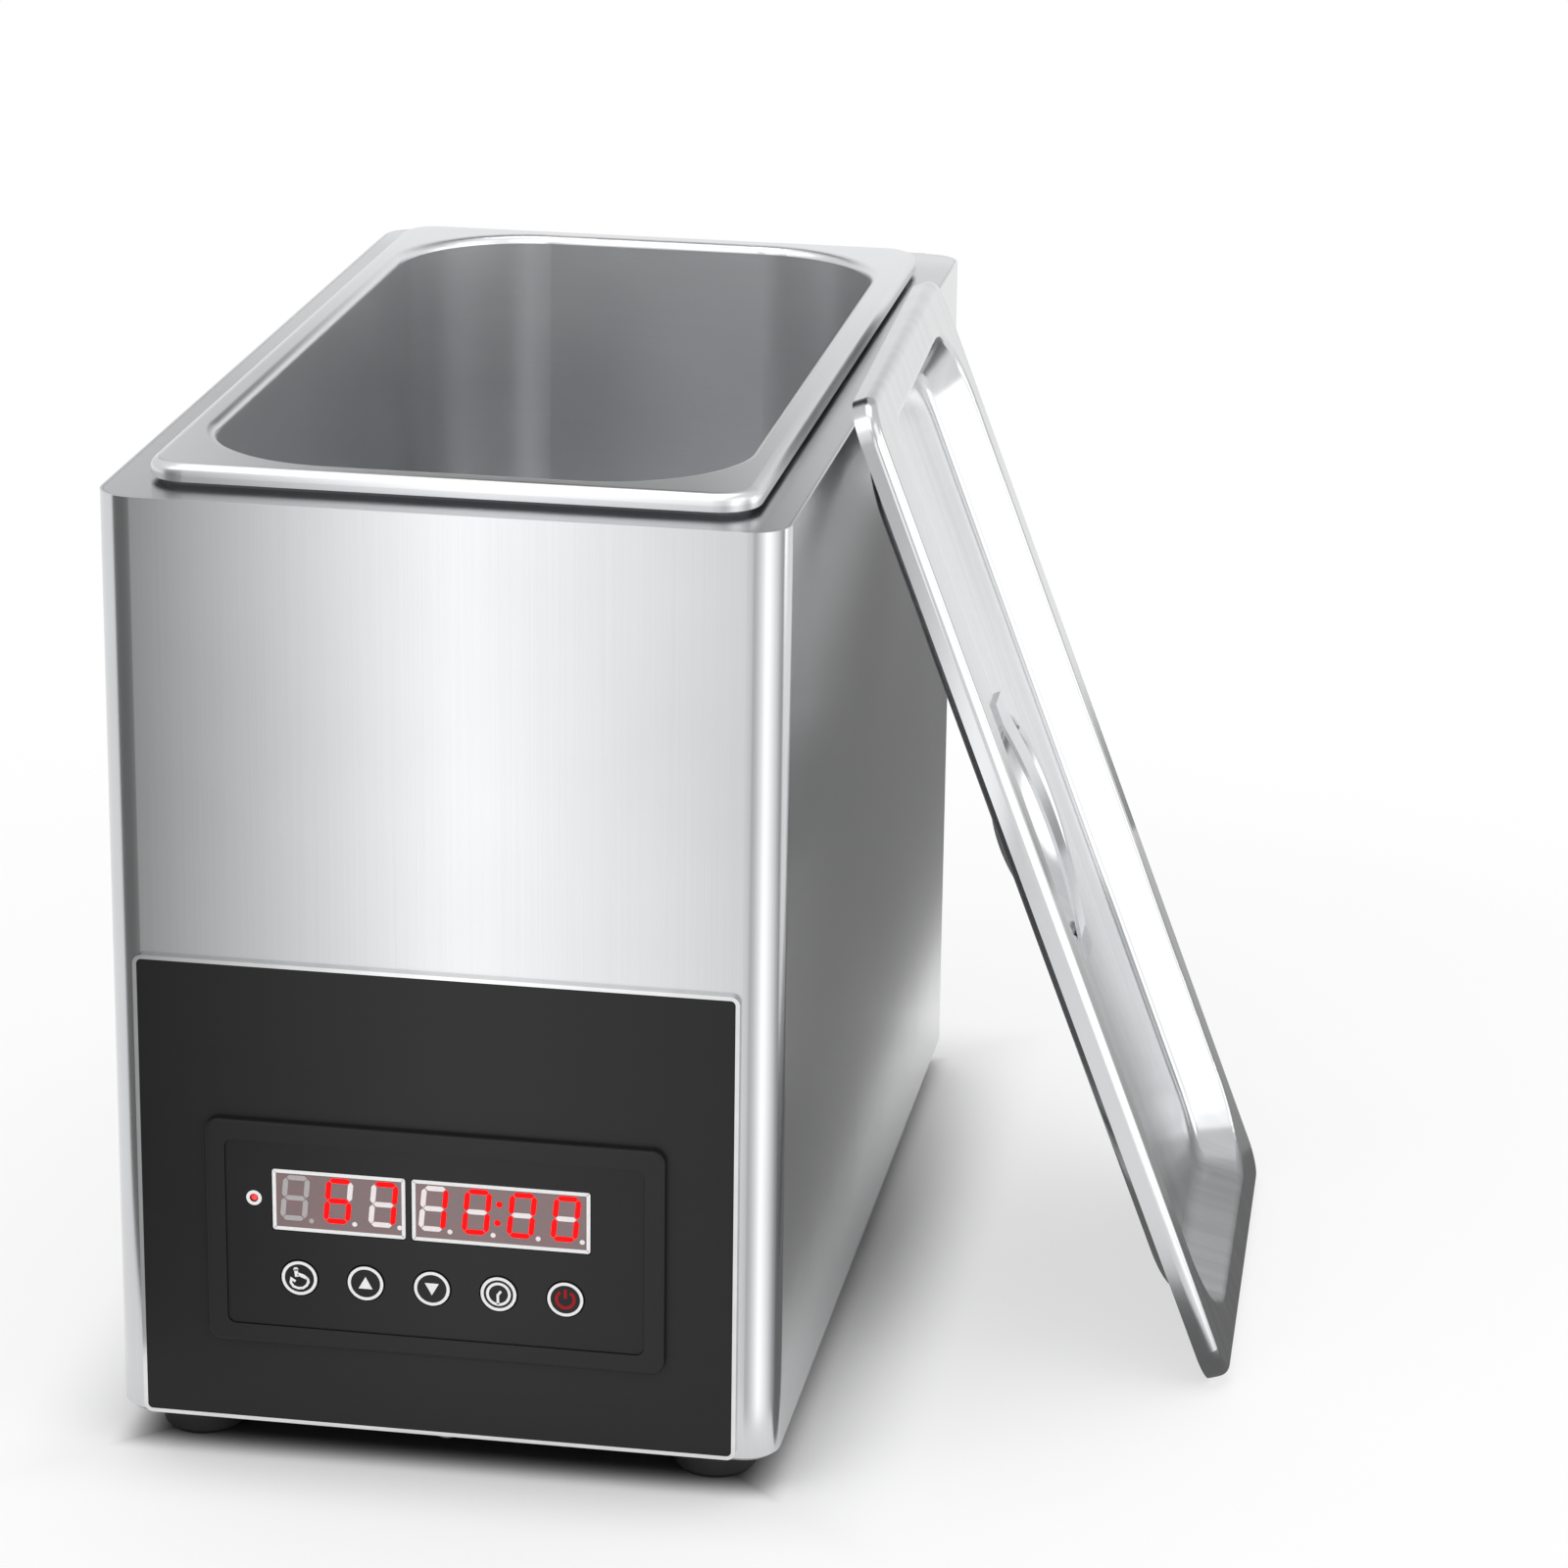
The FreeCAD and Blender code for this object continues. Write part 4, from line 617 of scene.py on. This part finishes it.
def crossScrew(x, z, seat, length, look):
    # A profile of (radius, height over the seat) turned about the screw's axis, from the shank's end
    # to the middle of the head. The cross sinks into the flat of the head: its depth follows the
    # greater of two crossed bars, each the product of two clipped slopes.
    head, top, rounding = look["headRadius"], look["headHeight"], look["rounding"]
    turn = np.radians(np.linspace(0, 90, 6))
    flat = np.linspace(head - rounding, 0.1, look["across"])[1:]
    radius = np.concatenate([[0.1, look["shankRadius"], look["shankRadius"], head],
                             head - rounding + rounding * np.cos(turn), flat])
    height = np.concatenate([[-length, -length, 0, 0], top - rounding + rounding * np.sin(turn),
                             np.full(len(flat), top)])
    count = look["around"]
    angle = np.arange(count) * 2 * math.pi / count
    a, b = radius[:, None] * np.cos(angle), radius[:, None] * np.sin(angle)
    slope = [np.clip((look[reach] / 2 - np.abs(side)) / look["barEdge"] + 0.5, 0, 1)
             for side, reach in ((a, "barWidth"), (b, "barLength"), (b, "barWidth"), (a, "barLength"))]
    cross = np.maximum(slope[0] * slope[1], slope[2] * slope[3])
    cross[:len(radius) - len(flat)] = 0
    depth = seat + height[:, None] - look["barDepth"] * cross
    vertices = np.stack([x + a, depth, z + b], axis=2).reshape(-1, 3)
    row, column = np.meshgrid(np.arange(len(radius) - 1), np.arange(count), indexing="ij")
    ahead = (column + 1) % count
    quads = np.stack([row * count + column, (row + 1) * count + column, (row + 1) * count + ahead,
                      row * count + ahead], axis=2).reshape(-1, 4)
    half = np.arange(count // 2 - 1)
    cap = np.stack([half, half + 1, count - 2 - half, count - 1 - half], axis=1)
    return vertices * mm, np.concatenate([quads, cap, cap[:, ::-1] + (len(radius) - 1) * count])


def makeScrews(node, name, columns, rows, look):
    # screws evenly spaced between the outer heads' centres, which lie a head's radius inside the node's box
    low, high = nodeBox(node)
    seat = high[1] - look["headHeight"]
    reach = look["headRadius"]
    groups = [(*crossScrew(x, z, seat, seat - low[1], look), "screw_steel")
              for x in np.linspace(low[0] + reach, high[0] - reach, columns)
              for z in np.linspace(low[2] + reach, high[2] - reach, rows)]
    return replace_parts(meshPiece(name, groups, "machine"), node)


for node, (name, columns, rows) in screwGroups.items():
    makeScrews(node, name, columns, rows, screwLook)
print("turned the back's screws")

# floor, backdrop light, lamps, and cards that only reflections see
studio = dict(
    floor=30.0, floorTone="f4f4f4", worldLight=0.84, whiteFrom=0.26, whiteTo=0.62, whiteNear=0.04, whiteShare=0.6,
    mirrorFrom=0.0, mirrorTo=0.05,
    keyPower=13.0, keySize=1.6, keyPlace=(-1.5, -1.7, 2.1),
    fillPower=7.0, fillSize=1.8, fillPlace=(2.1, -1.0, 1.6),
    topPower=9.0, topSize=1.6, topPlace=(0.0, 0.2, 2.4),
)


def rayShare(tree, *kinds):
    # 1 where a ray of one of these kinds meets the surface
    rays = tree.nodes.new("ShaderNodeLightPath")
    total = rays.outputs[kinds[0]]
    for name in kinds[1:]:
        both = tree.nodes.new("ShaderNodeMath")
        both.operation = "MAXIMUM"
        tree.links.new(total, both.inputs[0])
        tree.links.new(rays.outputs[name], both.inputs[1])
        total = both.outputs[0]
    return total


def makeWorld(look):
    # even white light; the camera, glossy and transmitted rays see plain white
    world = bpy.data.worlds.new("studio")
    bpy.context.scene.world = world
    world.use_nodes = True
    tree = world.node_tree
    soft = tree.nodes["Background"]
    soft.inputs["Color"].default_value = (1, 1, 1, 1)
    soft.inputs["Strength"].default_value = look["worldLight"]
    white = tree.nodes.new("ShaderNodeBackground")
    white.inputs["Strength"].default_value = 1.0
    both = tree.nodes.new("ShaderNodeMixShader")
    share = rayShare(tree, "Is Camera Ray", "Is Glossy Ray", "Is Transmission Ray")
    tree.links.new(share, both.inputs[0])
    tree.links.new(soft.outputs[0], both.inputs[1])
    tree.links.new(white.outputs[0], both.inputs[2])
    tree.links.new(both.outputs[0], tree.nodes["World Output"].inputs["Surface"])


def stageSheet(name, corners, faces, material):
    # one sheet of the stage, which isn't part of the machine
    mesh = bpy.data.meshes.new(name)
    mesh.from_pydata(corners, [], faces)
    mesh.materials.append(material)
    sheet = bpy.data.objects.new(name, mesh)
    bpy.context.scene.collection.objects.link(sheet)
    return sheet


def makeFloor(look):
    # Pale matt floor that keeps the machine's shadow, with a dark shadow painted into its colour in the gap
    # under the machine. For the camera it is partly white beside the machine and plain white further out; for
    # reflections it is white a little way from the machine.
    floor = Finish("floor", {"Roughness": 0.9, "Specular IOR Level": 0.0})
    low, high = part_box("casing_wrap")
    x, y = floor.along("X"), floor.along("Y")
    outX = x.maths("ABSOLUTE") - high[0]
    outY = y.maths("ABSOLUTE") - high[1]
    outside = outX.maths("MAXIMUM", outY)
    # painted contact shadow: the floor's colour turns dark grey inside the machine's footprint
    paintedUnderShadow = 1 - floor.fade(outside, -0.016, 0.004)
    mottle = floor.noise(floor.stretched(3, 3, 3), detail=2.0)
    pale = floor.blend(mottle, tint(look["floorTone"]), tint("f8f8f8"))
    material = floor.set(colour=floor.blend(paintedUnderShadow, pale, tint("3a3a3a")))
    distance = (x * x + y * y).maths("SQRT")
    seen = Signal(floor, rayShare(floor.tree, "Is Camera Ray"))
    mirrored = Signal(floor, rayShare(floor.tree, "Is Glossy Ray", "Is Transmission Ray"))
    near = floor.fade(outside, 0.0, look["whiteNear"]) * look["whiteShare"]
    far = floor.fade(distance, look["whiteFrom"], look["whiteTo"])
    share = seen * near.maths("MAXIMUM", far) + mirrored * floor.fade(
        outside, look["mirrorFrom"], look["mirrorTo"])
    white = floor.add("ShaderNodeEmission", values={"Color": (1, 1, 1, 1), "Strength": 1.0})
    plain = Signal(floor, floor.shader.outputs[0])
    both = floor.add("ShaderNodeMixShader", values={0: share, 1: plain, 2: white})
    floor.feed(floor.tree.nodes["Material Output"].inputs["Surface"], both)
    reach = look["floor"] / 2
    corners = [(-reach, -reach, 0), (reach, -reach, 0), (reach, reach, 0), (-reach, reach, 0)]
    return stageSheet("floor", corners, [range(4)], material)


# each card: its path over the bench, its height, a few plain tones along one axis, and how bright they are
# taken; foot is the tone that it fades to between the two heights of its fall
cards = {
    "frontCard": dict(
        path=((-0.30, -0.25), (0.109, -0.25)), low=0.0, high=0.40, axis="X", bright=1.5,
        tones=((-0.13, "606060"), (-0.01, "ffffff"), (0.11, "c0c0c0"))),
    "cornerCard": dict(
        path=[(0.089 + 0.06 * math.sin(math.radians(t)), -0.1695 - 0.06 * math.cos(math.radians(t)))
              for t in range(8, 107, 7)],
        low=0.0, high=0.32, axis="Y", bright=1.7, tones=((-0.23, "909090"), (-0.21, "ffffff"), (-0.16, "808080"))),
    "rightCard": dict(
        path=((0.95, -1.30), (0.95, 0.45)), low=0.0, high=0.62, axis="Y", bright=2.0,
        tones=((-0.12, "ffffff"), (0.0, "c0c0c0"), (0.20, "ffffff"))),
    "foldCard": dict(
        path=((-0.30, -0.26), (0.13, -0.26)), low=0.40, high=0.80, axis="Z", bright=2.0,
        tones=((0.40, "e0e0e0"), (0.46, "ffffff"))),
    "topCard": dict(
        path=((-0.24, 0.20), (0.24, 0.20)), low=0.300, high=0.80, axis="X", bright=1.3,
        tones=((-0.20, "c0c0c0"), (-0.10, "303030"), (0.0, "303030"), (0.05, "b0b0b0")),
        fall=(0.43, 0.33), foot="e0e0e0"),
    "lidEndCard": dict(
        path=((0.172, 0.125), (0.32, 0.125)), low=0.0, high=0.115, axis="Z", bright=1.0,
        tones=((0.0, "909090"), (0.115, "d0d0d0"))),
    "backCard": dict(
        path=((-1.10, 1.50), (0.60, 1.50)), low=0.45, high=1.70, axis="Z", bright=1.3,
        tones=((0.58, "ffffff"), (0.88, "909090"))),
    "benchCard": dict(
        path=((0.12, -0.16), (0.42, -0.16), (0.42, 0.95), (0.12, 0.95)), low=0.002, high=0.002, axis="Y",
        bright=1.0, tones=((0.0, "707070"), (0.9, "808080"))),
}


def makeCard(name, look):
    # Glowing sheet that only glossy rays meet: a wall along its path, or a flat sheet inside the path
    # where its two heights are the same.
    paper = Finish(name, {"Base Color": (0, 0, 0, 1), "Specular IOR Level": 0.0,
                          "Emission Strength": look["bright"]})
    tones = paper.ramp(paper.along(look["axis"]), look["tones"])
    if "foot" in look:
        tones = paper.blend(paper.fade(paper.along("Z"), *look["fall"]), tones, tint(look["foot"]))
    count = len(look["path"])
    corners = [(x, y, look["low"]) for x, y in look["path"]]
    faces = [range(count)]
    if look["high"] > look["low"]:
        corners += [(x, y, look["high"]) for x, y in look["path"]]
        faces = [(i, i + 1, i + 1 + count, i + count) for i in range(count - 1)]
    card = stageSheet(name, corners, faces, paper.set(glow=tones))
    card.visible_camera = False
    card.visible_diffuse = False
    card.visible_transmission = False
    card.visible_volume_scatter = False
    card.visible_shadow = False
    return card


def makeLamp(name, place, size, power):
    # square soft lamp that faces the middle of the machine
    data = bpy.data.lights.new(name, "AREA")
    data.size = size
    data.energy = power
    lamp = bpy.data.objects.new(name, data)
    bpy.context.scene.collection.objects.link(lamp)
    away = (np.array(place) - (0, 0, 0.15))
    away /= np.linalg.norm(away)
    side = np.cross((0, 0, 1), away)
    side /= max(np.linalg.norm(side), 1e-6)
    up = np.cross(away, side)
    turn = Matrix(np.stack([side, up, away], axis=1).tolist()).to_4x4()
    lamp.matrix_world = Matrix.Translation(place) @ turn
    return lamp


makeWorld(studio)
makeFloor(studio)
for cardName, cardShape in cards.items():
    makeCard(cardName, cardShape)
for lampName in ("key", "fill", "top"):
    makeLamp(lampName, studio[lampName + "Place"], studio[lampName + "Size"], studio[lampName + "Power"])

cameraLook = dict(
    lens=120.193, sensor=36.0, place=(322.91, -1546.93, 679.35),
    right=(0.986098, 0.165665, 0.012872), down=(0.064188, -0.308324, -0.949114),
    ahead=(-0.153266, 0.936745, -0.314671),
)


def makeCamera(look):
    # the camera's own axes are right, up and backwards
    data = bpy.data.cameras.new("camera")
    data.lens = look["lens"]
    data.sensor_width = look["sensor"]
    camera = bpy.data.objects.new("camera", data)
    bpy.context.scene.collection.objects.link(camera)
    axes = np.stack([look["right"], -np.array(look["down"]), -np.array(look["ahead"])], axis=1)
    turn = Matrix(axes.tolist()).to_4x4()
    camera.matrix_world = Matrix.Translation(np.array(look["place"]) * mm) @ turn
    bpy.context.scene.camera = camera


makeCamera(cameraLook)
bpy.context.scene.view_settings.view_transform = "Standard"
print("lit the scene and placed the camera")
